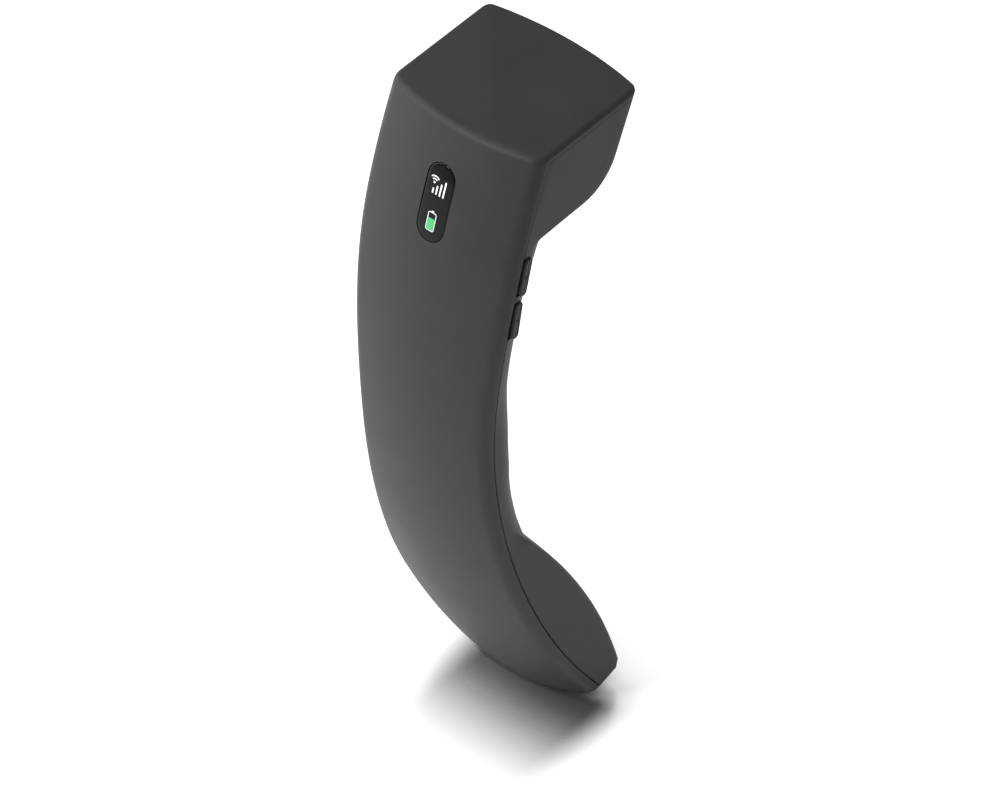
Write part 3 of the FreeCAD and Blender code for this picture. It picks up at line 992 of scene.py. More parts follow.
    def face_height(self, x: np.ndarray, full: float, inset: float, depth: float, rise: float,
                    corner: float) -> np.ndarray:
        """How far a crowned, round-cornered face stands in front of the seam.

        Args:
            x: places across, from the middle to the side.
            full: half the width before the inset.
            inset: how far the whole face is drawn in.
            depth: the face's depth at the sides, were its corners sharp.
            rise: how much the crown adds in the middle.
            corner: the corner's radius.

        Returns:
            The height at each place.
        """
        crown = (full ** 2 + rise ** 2) / (2 * rise)
        centre = depth + rise - crown
        x0 = full - corner
        h0 = centre + math.sqrt((crown - corner) ** 2 - x0 ** 2)
        lean = math.atan2(x0, h0 - centre)
        crown, corner = crown - inset, corner - inset
        split = x0 + corner * math.sin(lean)
        arch = centre + np.sqrt(np.maximum(crown ** 2 - x ** 2, 0.0))
        bend = h0 + np.sqrt(np.maximum(corner ** 2 - np.maximum(x - x0, 0.0) ** 2, 0.0))
        return np.where(x < split, arch, bend)

    def front_height(self, s: Slice, x: np.ndarray) -> np.ndarray:
        """The front's height: the handle, the ear block and the pad, softly joined.

        Args:
            s: the slice.
            x: places across, from the middle to the side.

        Returns:
            The height at each place.
        """
        full = self.half(s.angle)
        low, high = (eased(s.angle, band) for band in self.arch_bands)
        arch = self.grip_arch * (low + 0.5 * high)
        grip = s.grip - arch
        round_off = min(self.handle_round, grip - 0.3)
        height = self.face_height(x, full, s.inset_front, grip, self.handle_rise + arch, round_off)
        shapes = [(s.block, self.ear_rise, self.block_round, self.ear_blend),
                  (s.pad, self.pad_rise, self.pad_round, self.pad_blend)]
        for depth, rise, corner, blend in shapes:
            if depth > 0.0:
                face = self.face_height(x, full, s.inset_front, depth, rise, corner)
                gap = np.maximum(blend - np.abs(height - face), 0.0) / blend
                height = np.maximum(height, face) + gap ** 2 * blend / 4
        return height

    def front_columns(self, s: Slice) -> np.ndarray:
        """A slice's sides and front, from the left seam to the right one.

        Args:
            s: the slice.

        Returns:
            Points (x, distance in front of the seam).
        """
        full = self.half(s.angle)
        half = full - s.inset_front
        turns = [math.radians(90 * i / self.corner_steps) for i in range(self.corner_steps + 1)]
        fine = [half - self.bend_width * (1 - math.cos(t)) for t in turns]
        middle = list(np.linspace(half - self.bend_width, half - self.face_width, self.bend_steps)[1:])
        wide = list(np.linspace(half - self.face_width, 0.0, self.face_steps)[1:])
        x = np.array(fine + middle + wide)
        top = np.maximum(self.front_height(s, x), self.gap + self.lip + 0.3)
        cap = np.stack([x, top], axis=1)
        start = (self.gap + self.lip) * s.tight
        side = [(half, start + (cap[0][1] - start) * i / self.side_steps)
                for i in range(1, self.side_steps)]
        right = np.vstack([self.seam_edge(s, half, 1), side, cap])
        upper, lower = (self.grip_taper * eased(s.angle, rise) * eased(s.angle, fall)
                        for rise, fall in (self.upper_taper, self.lower_taper))
        taper = upper + 0.5 * lower
        right[:, 0] -= taper * right[:, 1] * (right[:, 0] / full) ** 2
        left = right[:-1] * np.array([-1, 1])
        return np.vstack([left, right[::-1]])

    def lift(self, s: Slice, columns: np.ndarray) -> np.ndarray:
        """Turn a slice's points into space points, in metres.

        Args:
            s: the slice.
            columns: points (x, distance in front of the seam).

        Returns:
            Points (x, y, z).
        """
        a = math.radians(s.slope)
        y = s.seam[0] + columns[:, 1] * math.cos(a)
        z = s.seam[1] + columns[:, 1] * math.sin(a)
        return np.stack([columns[:, 0], y, z], axis=1) * MM


# ---- mesh tools -----------------------------------------------------------------------


class Mesh:
    """A mesh under construction, in metres."""

    def __init__(self) -> None:
        """Start empty."""
        self.points: list[Sequence[float]] = []
        self.faces: list[Sequence[int]] = []

    def add(self, points: Iterable[Sequence[float]]) -> list[int]:
        """Add points and return their indices.

        Args:
            points: the points.

        Returns:
            Their indices.
        """
        start = len(self.points)
        self.points.extend(tuple(float(c) for c in p) for p in points)
        return list(range(start, len(self.points)))

    def strip(self, first: Sequence[int], second: Sequence[int], closed: bool = False) -> None:
        """Join two rows of points with quads.

        Args:
            first: the indices of one row.
            second: the indices of the next row, as many.
            closed: whether the rows are rings.
        """
        count = len(first) if closed else len(first) - 1
        for i in range(count):
            j = (i + 1) % len(first)
            self.faces.append((first[i], first[j], second[j], second[i]))

    def join(self, rows: Sequence[Sequence[int]], closed: bool = True, caps: bool = True) -> None:
        """Join rows of as many points, one after the other.

        Args:
            rows: the indices of each row, in order.
            closed: whether the rows are rings.
            caps: whether a face closes the first and the last ring.
        """
        for a, b in zip(rows, rows[1:]):
            self.strip(a, b, closed)
        if caps:
            self.faces.append(tuple(rows[0][::-1]))
            self.faces.append(tuple(rows[-1]))

    def fan(self, ring: Sequence[int], apex: Sequence[float]) -> None:
        """Close a ring with triangles to one point.

        Args:
            ring: the ring's indices.
            apex: the point.
        """
        tip = self.add([apex])[0]
        for i, here in enumerate(ring):
            self.faces.append((here, ring[(i + 1) % len(ring)], tip))

    def object(self, name: str, place: Matrix | None = None) -> bpy.types.Object:
        """Make the Blender object.

        Args:
            name: the piece's name.
            place: a placement in millimetres, for points that are local and in millimetres.

        Returns:
            The object, linked to the scene, with its normals outward.
        """
        points = self.points
        if place is not None:
            points = [tuple((place @ Vector(p)) * MM) for p in points]
        data = bpy.data.meshes.new(name)
        data.from_pydata(points, [], self.faces)
        work = bmesh.new()
        work.from_mesh(data)
        bmesh.ops.remove_doubles(work, verts=work.verts, dist=WELD)
        loose = [v for v in work.verts if not v.link_faces]
        bmesh.ops.delete(work, geom=loose, context="VERTS")
        bmesh.ops.recalc_face_normals(work, faces=work.faces)
        work.to_mesh(data)
        work.free()
        made = bpy.data.objects.new(name, data)
        bpy.context.scene.collection.objects.link(made)
        return made


def shade(piece: bpy.types.Object, angle: float = 32.0) -> bpy.types.Object:
    """Shade a piece smooth, with sharp edges where it turns by more than an angle.

    Args:
        piece: the object.
        angle: the least turn of a sharp edge, in degrees.

    Returns:
        The same object.
    """
    piece.data.shade_smooth()
    piece.data.set_sharp_from_angle(angle=math.radians(angle))
    return piece


def settle(piece: bpy.types.Object) -> bpy.types.Object:
    """Apply a piece's modifiers, so that its mesh is final.

    Args:
        piece: the object.

    Returns:
        The same object.
    """
    graph = bpy.context.evaluated_depsgraph_get()
    final = bpy.data.meshes.new_from_object(piece.evaluated_get(graph))
    piece.modifiers.clear()
    piece.data = final
    return piece


def carve(piece: bpy.types.Object, cutters: Iterable[bpy.types.Object]) -> bpy.types.Object:
    """Cut solids out of a piece, then remove the cutters.

    Args:
        piece: the object.
        cutters: the solids.

    Returns:
        The same object.
    """
    cutters = list(cutters)
    for cutter in cutters:
        step = piece.modifiers.new("cut", "BOOLEAN")
        step.operation = "DIFFERENCE"
        step.solver = "EXACT"
        step.object = cutter
    settle(piece)
    for cutter in cutters:
        bpy.data.objects.remove(cutter)
    return piece


def stadium(length: float, width: float, steps: int = 14) -> list[Point]:
    """A round-ended outline, long along its second axis, about the origin.

    Args:
        length: from end to end.
        width: from side to side.
        steps: pieces in each half circle.

    Returns:
        Its points in order.
    """
    r, s = width / 2, (length - width) / 2
    points = []
    for end in (1, -1):
        for i in range(steps + 1):
            a = math.pi * i / steps + (0 if end > 0 else math.pi)
            points.append((r * math.cos(a), end * s + r * math.sin(a)))
    return points


def extruded(name: str, outline: Sequence[Point], low: float, high: float, place: Matrix) -> bpy.types.Object:
    """A closed prism.

    Args:
        name: its name.
        outline: its outline in the placement's XY plane, in millimetres.
        low: where it starts along Z.
        high: where it ends along Z.
        place: its placement.

    Returns:
        The object.
    """
    mesh = Mesh()
    bottom = mesh.add([(x, y, low) for x, y in outline])
    top = mesh.add([(x, y, high) for x, y in outline])
    mesh.join([bottom, top])
    return mesh.object(name, place)


def circle(radius: float, steps: int = 32) -> list[Point]:
    """A circle's points about the origin."""
    turns = [2 * math.pi * i / steps for i in range(steps)]
    return [(radius * math.cos(t), radius * math.sin(t)) for t in turns]


def turned(mesh: Mesh, profile: Sequence[Point], steps: int = 40, at: Point = (0.0, 0.0)) -> None:
    """Add a closed turned shape to a mesh.

    Args:
        mesh: the mesh, in a local frame in millimetres.
        profile: (radius, height) points from the foot's middle over the rim to the top's middle.
        steps: sides of the turned shape.
        at: where its axis stands.
    """
    rings = []
    for radius, height in profile[1:-1]:
        rings.append(mesh.add([(at[0] + x, at[1] + y, height) for x, y in circle(radius, steps)]))
    mesh.join(rings, caps=False)
    mesh.fan(rings[0], (*at, profile[0][1]))
    mesh.fan(rings[-1], (*at, profile[-1][1]))


def rim_profile(half: float, low: float, high: float, radius: float, dish: float) -> list[Point]:
    """A button's side profile: (inset from the side, height) up the side and over the rim.

    Args:
        half: half the button's width, where the profile stops in the middle.
        low: height of its foot.
        high: height of its rim.
        radius: radius of the rounded rim.
        dish: how far the middle lies below the rim.

    Returns:
        The points, from the foot to near the middle.
    """
    points = [(0.0, low), (0.0, high - radius)]
    for i in range(1, 5):
        a = math.radians(90 * i / 4)
        points.append((radius * (1 - math.cos(a)), high - radius * (1 - math.sin(a))))
    for i in range(1, 5):
        inset = radius + (half - radius) * i / 5
        share = (inset - radius) / (half - radius)
        points.append((inset, high - dish * (1 - (1 - share) ** 2)))
    return points


# ---- sub-assemblies -------------------------------------------------------------------


@dataclass
class Workshop:
    """What every sub-assembly needs: the case's form, the finishes and the list of pieces."""

    form: CaseForm
    palette: Palette
    made: list[str] = field(default_factory=list)

    def fit(self, piece: bpy.types.Object, finish: Finish, body: str, *nodes: str) -> bpy.types.Object:
        """Dress a piece, hang it on its body and let it stand for CAD nodes.

        Args:
            piece: the finished object.
            finish: its material.
            body: the body that it rides on.
            nodes: the CAD nodes that it stands for.

        Returns:
            The same piece.
        """
        piece.data.materials.clear()
        piece.data.materials.append(self.palette.get(finish))
        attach(piece, body)
        if nodes:
            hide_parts(*nodes)
        self.made.append(piece.name)
        LOG.info("%s rides on %s", piece.name, body)
        return piece


@dataclass
class StatusWindow:
    """The round-ended gloss window on the back and the lit signs behind it."""

    shop: Workshop
    angle: float = 17.9
    length: float = 22.4
    width: float = 9.0
    clearance: float = 0.07
    rim: float = 0.45
    lens_depth: float = 2.6
    sign_height: float = 0.015
    sign_depth: float = 0.05
    cut: Point = (1.0, 12.0)
    middle_hole: float = 0.02
    mast: Point = (-1.7, 5.1)
    dot: float = 0.3
    waves: Point = (0.95, 1.7)
    stroke: float = 0.32
    bars: tuple[float, ...] = (1.5, 2.5, 3.4, 4.5)
    bar_start: Point = (-1.8, 2.1)
    bar_pitch: float = 1.12
    bar_width: float = 0.42
    cell_low: Point = (-1.4, -8.1)
    cell_high: Point = (1.25, -2.9)
    cell_line: float = 0.17
    cell_gap: float = 0.12
    cell_level: float = 3.5

    def on_back(self, x: float, up: float, height: float) -> tuple[float, float, float]:
        """A space point on the back, in metres.

        Args:
            x: to the right, seen from behind.
            up: along the arc from the window's middle.
            height: above the surface.

        Returns:
            The point.
        """
        form = self.shop.form
        angle = self.angle + math.degrees(up / form.back_radius(0, self.angle))
        y, z = form.arc.point(angle, form.back_radius(x, angle) + height)
        return (x * MM, y * MM, z * MM)

    def cutter(self) -> bpy.types.Object:
        """The solid that opens the back shell for the lens."""
        place = self.shop.form.arc.frame(self.angle, self.shop.form.arc.radius)
        return extruded("window_cutter", stadium(self.length, self.width, 24), *self.cut, place)

    def lens(self) -> bpy.types.Object:
        """The lens: a rounded rim and a face that follows the back's crown.

        Returns:
            The lens.
        """
        mesh = Mesh()
        half = self.width / 2 - self.clearance
        length = self.length - 2 * self.clearance
        profile = [(0.0, -self.lens_depth), (0.0, -self.rim)]
        for i in range(1, 6):
            a = math.radians(90 * i / 5)
            profile.append((self.rim * (1 - math.cos(a)), -self.rim * (1 - math.sin(a))))
        profile += [(self.rim + (half - self.rim) * i / 6, 0.0) for i in range(1, 6)]
        profile.append((half - self.middle_hole, 0.0))
        rings = []
        for inset, height in profile:
            outline = stadium(length - 2 * inset, 2 * (half - inset), 20)
            rings.append(mesh.add([self.on_back(x, up, height) for x, up in outline]))
        mesh.join(rings)
        return shade(mesh.object("display_window"), 50)

    def sign(self, mesh: Mesh, outline: Sequence[Point]) -> None:
        """Add a thin lit plate that lies on the lens.

        Args:
            mesh: the mesh that gathers the plates.
            outline: its outline (x, up) about the window's middle.
        """
        low = mesh.add([self.on_back(x, u, self.sign_height - self.sign_depth) for x, u in outline])
        high = mesh.add([self.on_back(x, u, self.sign_height) for x, u in outline])
        mesh.join([low, high])

    @staticmethod
    def bar(x0: float, u0: float, x1: float, u1: float, corner: float) -> list[Point]:
        """A rectangle with rounded corners.

        Args:
            x0: its left side.
            u0: its foot.
            x1: its right side.
            u1: its top.
            corner: the radius of its corners.

        Returns:
            The outline.
        """
        points = []
        spots = ((x1 - corner, u1 - corner), (x0 + corner, u1 - corner),
                 (x0 + corner, u0 + corner), (x1 - corner, u0 + corner))
        for quarter, (x, u) in enumerate(spots):
            for i in range(5):
                a = math.radians(90 * quarter + 22.5 * i)
                points.append((x + corner * math.cos(a), u + corner * math.sin(a)))
        return points

    def frame_sign(self, mesh: Mesh, outer: Sequence[Point], inner: Sequence[Point]) -> None:
        """Add a thin lit frame between two outlines of as many points.

        Args:
            mesh: the mesh that gathers the plates.
            outer: the outer outline.
            inner: the inner outline.
        """
        low, high = self.sign_height - self.sign_depth, self.sign_height
        rings = [mesh.add([self.on_back(x, u, h) for x, u in outline])
                 for outline, h in ((outer, low), (outer, high), (inner, high), (inner, low))]
        mesh.join(rings + rings[:1], caps=False)

    @staticmethod
    def wave(x: float, up: float, radius: float, thick: float, spread: float = 46.0) -> list[Point]:
        """A band of an arc that opens upward, as in a plain radio sign.

        Args:
            x: the arc's centre.
            up: the arc's centre.
            radius: its middle radius.
            thick: the band's thickness.
            spread: how far it opens to each side, in degrees.

        Returns:
            The outline.
        """
        turns = [math.radians(90 + spread * (i / 5 - 1)) for i in range(11)]
        rims = ((radius + thick / 2, turns), (radius - thick / 2, turns[::-1]))
        return [(x + r * math.cos(t), up + r * math.sin(t)) for r, rim in rims for t in rim]

    def signs(self) -> tuple[bpy.types.Object, bpy.types.Object]:
        """The white signs and the green battery level.

        Returns:
            Both objects.
        """
        white, green = Mesh(), Mesh()
        x, up = self.mast
        self.sign(white, [(x + dx, up + dy) for dx, dy in circle(self.dot, 16)])
        for radius in self.waves:
            self.sign(white, self.wave(x, up, radius, self.stroke))
        for i, tall in enumerate(self.bars):
            left, foot = self.bar_start[0] + self.bar_pitch * i, self.bar_start[1]
            self.sign(white, self.bar(left, foot, left + self.bar_width, foot + tall, 0.2))
        (left, low), (right, high), line = self.cell_low, self.cell_high, self.cell_line
        outer = self.bar(left, low, right, high, 0.5)
        self.frame_sign(white, outer, self.bar(left + line, low + line, right - line, high - line, 0.32))
        self.sign(white, self.bar(-0.5, high + self.cell_gap, 0.35, high + 0.4, 0.1))
        inner = line + self.cell_gap
        level = low + self.cell_level
        self.sign(green, self.bar(left + inner, low + inner, right - inner, level, 0.15))
        return white.object("status_signs"), green.object("battery_level")

    def build(self) -> None:
        """Make and fit the lens and its signs."""
        self.shop.fit(self.lens(), Finish.LENS, "casing", "display_window")
        white, green = self.signs()
        self.shop.fit(white, Finish.WHITE_ICON, "casing")
        self.shop.fit(green, Finish.GREEN_ICON, "casing")


@dataclass
class SideKeys:
    """The two volume keys in the right side, just in front of the seam."""

    shop: Workshop
    angles: Point = (14.6, 10.75)
    names: tuple[str, str] = ("volume_up", "volume_down")
    length: float = 11.3
    width: float = 2.8
    proud: float = 0.6
    radius: float = 198.1
    clearance: float = 0.18
    foot: float = 2.6
    rim: float = 0.45
    dish: float = 0.12
    ridge_size: Point = (0.75, 0.16)
    ridge_rise: float = 0.02
    ridge_taper: float = 0.7
    slot_back: float = -4.0
    cut: Point = (-6.0, 3.0)
    cut_steps: int = 8

    def place(self, angle: float) -> Matrix:
        """A frame at a key, with +Z out of the side, +Y up the arc and X towards the front.

        Args:
            angle: the key's angle on the arc.

        Returns:
            The placement, in millimetres.
        """
        form = self.shop.form
        base = form.arc.frame(angle, self.radius, form.half(angle))
        return base @ Matrix.Rotation(math.radians(90), 4, "Y")

    def cutters(self) -> list[bpy.types.Object]:
        """Notches in the front shell's edge, open towards the seam.

        Returns:
            One solid for each key.
        """
        made = []
        half = self.length / 2 + self.clearance
        reach = self.width / 2 + self.clearance
        for name, angle in zip(self.names, self.angles):
            outline = [(self.slot_back, half), (self.slot_back, -half)]
            for end in (-1, 1):
                for i in range(self.cut_steps + 1):
                    a = math.radians(45 * (end - 1) + 90 * i / self.cut_steps)
                    outline.append((reach * math.cos(a), end * (half - reach) + reach * math.sin(a)))
            made.append(extruded(name + "_cutter", outline, *self.cut, self.place(angle)))
        return made

    def key(self, name: str, angle: float) -> bpy.types.Object:
        """One key: a round-ended bar with a rounded rim and a slightly dished face.

        Args:
            name: its name.
            angle: its angle on the arc.

        Returns:
            The key.
        """
        mesh = Mesh()
        half = self.width / 2
        rings = []
        for inset, height in rim_profile(half, -self.foot, self.proud, self.rim, self.dish):
            outline = stadium(self.length - 2 * inset, 2 * (half - inset), 12)
            rings.append(mesh.add([(x, y, height) for x, y in outline]))
        mesh.join(rings)
        self.ridge(mesh)
        if name == self.names[0]:
            self.ridge(mesh, True)
        return shade(mesh.object(name + "_button", self.place(angle)), 50)

    def ridge(self, mesh: Mesh, across: bool = False) -> None:
        """Add a low ridge that a finger can feel, along the key or across it.

        Args:
            mesh: the key's mesh.
            across: whether it runs across the key.
        """
        long, short = self.ridge_size
        dx, dy = (short, long) if across else (long, short)
        low, high = self.proud - 0.3, self.proud + self.ridge_rise
        corners = ((-dx, -dy), (dx, -dy), (dx, dy), (-dx, dy))
        bottom, top = (mesh.add([(x * share, y * share, height) for x, y in corners])
                       for share, height in ((1.0, low), (self.ridge_taper, high)))
        mesh.join([bottom, top])

    def build(self) -> None:
        """Make and fit both keys."""
        for name, angle in zip(self.names, self.angles):
            key = self.key(name, angle)
            self.shop.fit(key, Finish.KEY, name + "_key", name + "_button")


@dataclass
class CallKey:
    """The round call key in the middle of the handle's inner face."""

    shop: Workshop
    radius: float = 5.5
    proud: float = 0.8
    clearance: float = 0.18
    foot: float = 2.4
    rim: float = 0.5
    dish: float = 0.35
    cut: Point = (-6.0, 4.0)

    def place(self) -> Matrix:
        """A frame on the handle's inner face, with +Z out of it.

        Returns:
            The placement, in millimetres.
        """
        form = self.shop.form
        face = form.arc.radius - form.handle_depth
        return form.arc.frame(0.0, face) @ Matrix.Rotation(math.pi, 4, "Y")

    def cutter(self) -> bpy.types.Object:
        """The solid that opens the front shell for the key."""
        outline = circle(self.radius + self.clearance, 48)
        return extruded("call_cutter", outline, *self.cut, self.place())

    def build(self) -> None:
        """Make and fit the key."""
        mesh = Mesh()
        shape = rim_profile(self.radius, -self.foot, self.proud, self.rim, self.dish)
        profile = [(0.0, -self.foot)] + [(self.radius - inset, h) for inset, h in shape]
        turned(mesh, profile + [(0.0, self.proud - self.dish)], 56)
        key = shade(mesh.object("call_button", self.place()), 50)
        self.shop.fit(key, Finish.KEY, "call_key", "call_button")


@dataclass
class ScrewCovers:
    """The four soft plugs over the case screws, and their holes."""

    shop: Workshop
    radius: float = 2.3
    clearance: float = 0.06
    across: Point = (14.0, 12.0)
    angles: Point = (3.4, -21.0)
    faces: Point = (189.5, 185.0)
    height: float = 0.05
    foot: float = 1.2
    rim: float = 0.25
    dome: float = 0.12
    cut: Point = (-3.0, 3.0)

    def places(self) -> list[Matrix]:
        """Frames on the inner face at each plug, with +Z out of it.

        Returns:
            One placement for each plug.
        """
        arc = self.shop.form.arc
        flip = Matrix.Rotation(math.pi, 4, "Y")
        spots = zip(self.across, self.angles, self.faces)
        return [arc.frame(a, r, side * x) @ flip for x, a, r in spots for side in (1, -1)]

    def cutters(self) -> list[bpy.types.Object]:
        """The plug holes in the front shell.

        Returns:
            One solid for each hole.
        """
        outline = circle(self.radius + self.clearance, 32)
        return [extruded(f"plug_cutter_{i}", outline, *self.cut, place)
                for i, place in enumerate(self.places())]

    def build(self) -> None:
        """Make and fit the plugs as one piece of four."""
        mesh = Mesh()
        shape = rim_profile(self.radius, -self.foot, self.height, self.rim, -self.dome)
        profile = [(0.0, -self.foot)] + [(self.radius - inset, h) for inset, h in shape]
        for place in self.places():
            one = Mesh()
            turned(one, profile + [(0.0, self.height + self.dome)], 32)
            start = len(mesh.points)
            mesh.points += [tuple((place @ Vector(p)) * MM) for p in one.points]
            mesh.faces += [tuple(i + start for i in f) for f in one.faces]
        self.shop.fit(shade(mesh.object("screw_plugs"), 50), Finish.RUBBER, "casing", "screw_plugs")


@dataclass
class SoundOpenings:
    """The holes in the ear face and the slot in the mouthpiece pad."""

    shop: Workshop
    ear_spot: Point = (24.0, 11.7)
    ear_lean: float = 24.0
    ring: float = 3.6
    hole: float = 0.8
    mouth_spot: Point = (22.4, 185.3)
    mouth_lean: float = -21.4
    slot: Point = (5.0, 1.2)
    ear_cut: Point = (1.0, 14.0)
    mouth_cut: Point = (0.5, 12.0)

    def place(self, spot: Point, lean: float) -> Matrix:
        """A frame at a side-outline spot, with +Z to the front, tipped down by a lean."""
        y, z = self.shop.form.side_point(spot)
        return Matrix.Translation((0, y, z)) @ Matrix.Rotation(math.radians(-90 - lean), 4, "X")

    def cutters(self) -> list[bpy.types.Object]:
        """One solid for each opening.

        Returns:
            The solids.
        """
        ear = self.place(self.ear_spot, self.ear_lean)
        spots = [(0.0, 0.0)]
        for i in range(6):
            a = math.radians(60 * i)
            spots.append((self.ring * math.cos(a), self.ring * math.sin(a)))
        made = []
        for i, (x, y) in enumerate(spots):
            outline = [(x + dx, y + dy) for dx, dy in circle(self.hole, 20)]
            made.append(extruded(f"ear_cutter_{i}", outline, *self.ear_cut, ear))
        mouth = self.place(self.mouth_spot, self.mouth_lean) @ Matrix.Rotation(math.pi / 2, 4, "Z")
        made.append(extruded("mouth_cutter", stadium(*self.slot, 10), *self.mouth_cut, mouth))
        return made


@dataclass
class ChargeMouth:
    """The opening in the end face for the charging plug."""

    shop: Workshop
    width: float = 8.4
    depth: float = 3.2
    along: float = 3.4
    cut: Point = (-6.0, 4.0)

    def cutter(self) -> bpy.types.Object:
        """The solid that opens the end wall.

        Returns:
            The solid.
        """
        form = self.shop.form
        back, front = form.side_point(form.end_back), form.side_point(form.end_front)
        step = (front - back) / np.linalg.norm(front - back)
        y, z = back + step * self.along
        tilt = math.atan2(step[1], step[0])
        place = Matrix.Translation((0, y, z)) @ Matrix.Rotation(tilt, 4, "X")
        place = place @ Matrix.Rotation(math.pi / 2, 4, "Z")
        return extruded("charge_cutter", stadium(self.width, self.depth, 14), *self.cut, place)


@dataclass
class Casing:
    """The two shells of the case."""

    shop: Workshop
    wall: float = 1.4
    rib_gap: float = 0.06
    rib_wall: float = 0.5
    rib_low: float = -1.6
    rib_high: float = 0.3

    def back_shell(self) -> Mesh:
        """The crowned back, the top wall with its skirt, and the back half of the end face.

        Returns:
            The outer skin, open inward.
        """
        form = self.shop.form
        mesh = Mesh()
        rings = []
        for s in form.top_slices():
            back = mesh.add(form.lift(s, form.back_columns(s)))
            rings.append(back + mesh.add(form.lift(s, form.front_columns(s))))
        mesh.join(rings, caps=False)
        mesh.faces.append(tuple(rings[0]))
        slices = form.body_slices() + form.end_slices()
        rows = [back] + [mesh.add(form.lift(s, form.back_columns(s))) for s in slices]
        mesh.join(rows, closed=False, caps=False)
        mesh.faces.append(tuple(rows[-1]))
        return mesh

    def front_shell(self) -> Mesh:
        """The ear block, the handle's inner side, the pad and the front of the end face.

        Returns:
            The outer skin, open inward.
        """
        form = self.shop.form
        mesh = Mesh()
        slices = form.front_rim_slices() + form.body_slices() + form.end_slices()
        rows = [mesh.add(form.lift(s, form.front_columns(s))) for s in slices]
        mesh.join(rows, closed=False, caps=False)
        mesh.faces.append(tuple(rows[-1]))
        return mesh

    def tongue(self) -> bpy.types.Object:
        """The two thin ribs of the back shell that close the seam from inside.

        Returns:
            Both ribs as one object.
        """
        form = self.shop.form
        mesh = Mesh()
        outer, inner = self.wall + self.rib_gap, self.wall + self.rib_gap + self.rib_wall
        for side in (1, -1):
            rings = []
            for s in form.body_slices()[2:-2]:
                half = form.half(s.angle)
                corners = [(half - outer, self.rib_low), (half - outer, self.rib_high),
                           (half - inner, self.rib_high), (half - inner, self.rib_low)]
                rings.append(mesh.add(form.lift(s, np.array(corners) * (side, 1))))
            mesh.join(rings)
        return shade(mesh.object("seam_tongue"), 50)

    def thicken(self, piece: bpy.types.Object) -> bpy.types.Object:
        """Give an outer skin its wall, inward.

        Args:
            piece: the skin.

        Returns:
            The same object.
        """
        step = piece.modifiers.new("wall", "SOLIDIFY")
        step.thickness = self.wall * MM
        step.offset = -1.0
        step.use_even_offset = False
        return settle(piece)

    def build(self, window: StatusWindow, keys: SideKeys, call: CallKey, covers: ScrewCovers) -> None:
        """Make both shells, open them for their neighbours and fit them.

        Args:
            window: cuts the back shell.
            keys: cut the front shell.
            call: cuts the front shell.
            covers: cut the front shell.
        """
        back = self.thicken(self.back_shell().object("back_shell"))
        carve(back, [window.cutter()])
        self.shop.fit(shade(back), Finish.SHELL, "casing", "back_shell")
        self.shop.fit(self.tongue(), Finish.SHELL, "casing")
        front = self.thicken(self.front_shell().object("front_shell"))
        cutters = keys.cutters() + [call.cutter()] + covers.cutters()
        cutters += SoundOpenings(self.shop).cutters() + [ChargeMouth(self.shop).cutter()]
        carve(front, cutters)
        self.shop.fit(shade(front), Finish.SHELL, "casing", "front_shell")


@dataclass
class Innards:
    """The CAD pieces that stay as they are and only get their finish."""

    shop: Workshop

    def build(self) -> None:
        """Dress every CAD node that is still shown with its record slot's finish."""
        for part in frame["record"]["subparts"]:
            node = frame["nodes"][part["node"]]
            if node.hide_render:
                continue
            node.data.materials.clear()
            node.data.materials.append(self.shop.palette.get(Finish(part["material_slot"])))
            LOG.info("%s keeps its CAD shape", part["node"])


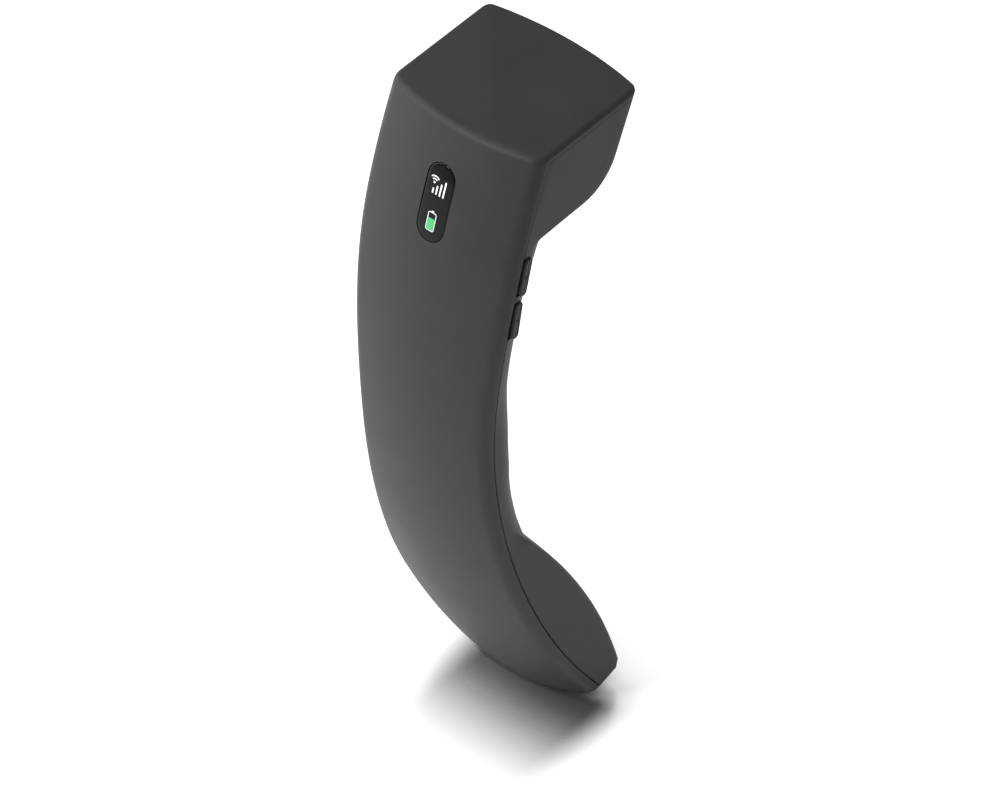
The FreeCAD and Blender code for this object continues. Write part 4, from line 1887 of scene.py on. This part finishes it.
@dataclass
class Studio:
    """The pale floor, the lights and the camera."""

    azimuth: float = 40.8
    elevation: float = 43.8
    distance: float = 2500.0
    frame_width: float = 256.0
    sensor: float = 36.0
    aim: tuple[float, float, float] = (1.21, 2.69, 101.31)
    floor_size: float = 4.0
    lamp_distance: float = 1.2
    lamp_height: float = 0.1
    ambient: float = 0.52

    def direction(self, azimuth: float, elevation: float) -> Vector:
        """The unit vector from the handset towards a place round it."""
        a, e = math.radians(azimuth), math.radians(elevation)
        return Vector((math.sin(a) * math.cos(e), -math.cos(a) * math.cos(e), math.sin(e)))

    def camera(self) -> None:
        """A long lens from behind, right and above."""
        data = bpy.data.cameras.new("camera")
        data.sensor_width = self.sensor
        data.lens = self.sensor * self.distance / self.frame_width
        data.clip_end = 100.0
        camera = bpy.data.objects.new("camera", data)
        back = self.direction(self.azimuth, self.elevation)
        camera.location = (Vector(self.aim) + back * self.distance) * MM
        camera.rotation_mode = "QUATERNION"
        camera.rotation_quaternion = (-back).to_track_quat("-Z", "Y")
        bpy.context.scene.collection.objects.link(camera)
        bpy.context.scene.camera = camera

    def lamp(self, name: str, azimuth: float, elevation: float, size: float, power: float) -> None:
        """An area light that faces the handset.

        Args:
            name: its name.
            azimuth: its direction, as for the camera.
            elevation: its direction, as for the camera.
            size: its side in metres.
            power: its power in watts.
        """
        data = bpy.data.lights.new(name, "AREA")
        data.size = size
        data.energy = power
        lamp = bpy.data.objects.new(name, data)
        toward = self.direction(azimuth, elevation)
        lamp.location = toward * self.lamp_distance + Vector((0, 0, self.lamp_height))
        lamp.rotation_mode = "QUATERNION"
        lamp.rotation_quaternion = toward.to_track_quat("Z", "Y")
        bpy.context.scene.collection.objects.link(lamp)

    def floor(self) -> None:
        """The pale floor under the lowest point."""
        mesh = Mesh()
        half = self.floor_size / 2
        corners = mesh.add([(-half, -half, 0), (half, -half, 0), (half, half, 0), (-half, half, 0)])
        mesh.faces.append(tuple(corners))
        floor = mesh.object("studio_floor")
        floor.data.materials.append(StudioFloor("studio_floor", (0.86, 0.86, 0.86)).material())

    def world(self) -> None:
        """Even pale light from all round."""
        world = bpy.data.worlds.new("studio")
        world.use_nodes = True
        background = world.node_tree.nodes["Background"]
        background.inputs["Color"].default_value = (1.0, 1.0, 1.0, 1.0)
        background.inputs["Strength"].default_value = self.ambient
        bpy.context.scene.world = world

    def build(self) -> None:
        """Set up the whole studio."""
        self.floor()
        self.world()
        self.lamp("left_softbox", -70, 25, 1.4, 21)
        self.lamp("edge_light", -20, 40, 0.2, 7)
        self.lamp("top_softbox", 20, 80, 1.2, 4)
        self.camera()
        bpy.context.scene.view_settings.view_transform = "Standard"


def handset_form() -> CaseForm:
    """The case's form, set on the frame by the back shell's box.

    Returns:
        The form.
    """
    low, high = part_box("back_shell")
    height = high.z / MM
    loose = CaseForm(Arc(0.0, height - AXIS_DROP), height)
    apex = max(loose.back_radius(0.0, a) * math.cos(math.radians(a)) for a in range(-10, 11))
    return CaseForm(Arc(low.y / MM + apex, height - AXIS_DROP), height)


def main() -> None:
    """Build the handset, then the studio."""
    logging.basicConfig(level=logging.INFO, format="%(message)s")
    shop = Workshop(handset_form(), Palette())
    window, keys, call, covers = StatusWindow(shop), SideKeys(shop), CallKey(shop), ScrewCovers(shop)
    Casing(shop).build(window, keys, call, covers)
    for assembly in (window, keys, call, covers, Innards(shop)):
        assembly.build()
    Studio().build()
    LOG.info("%d pieces made", len(shop.made))


if __name__ == "__main__":
    main()
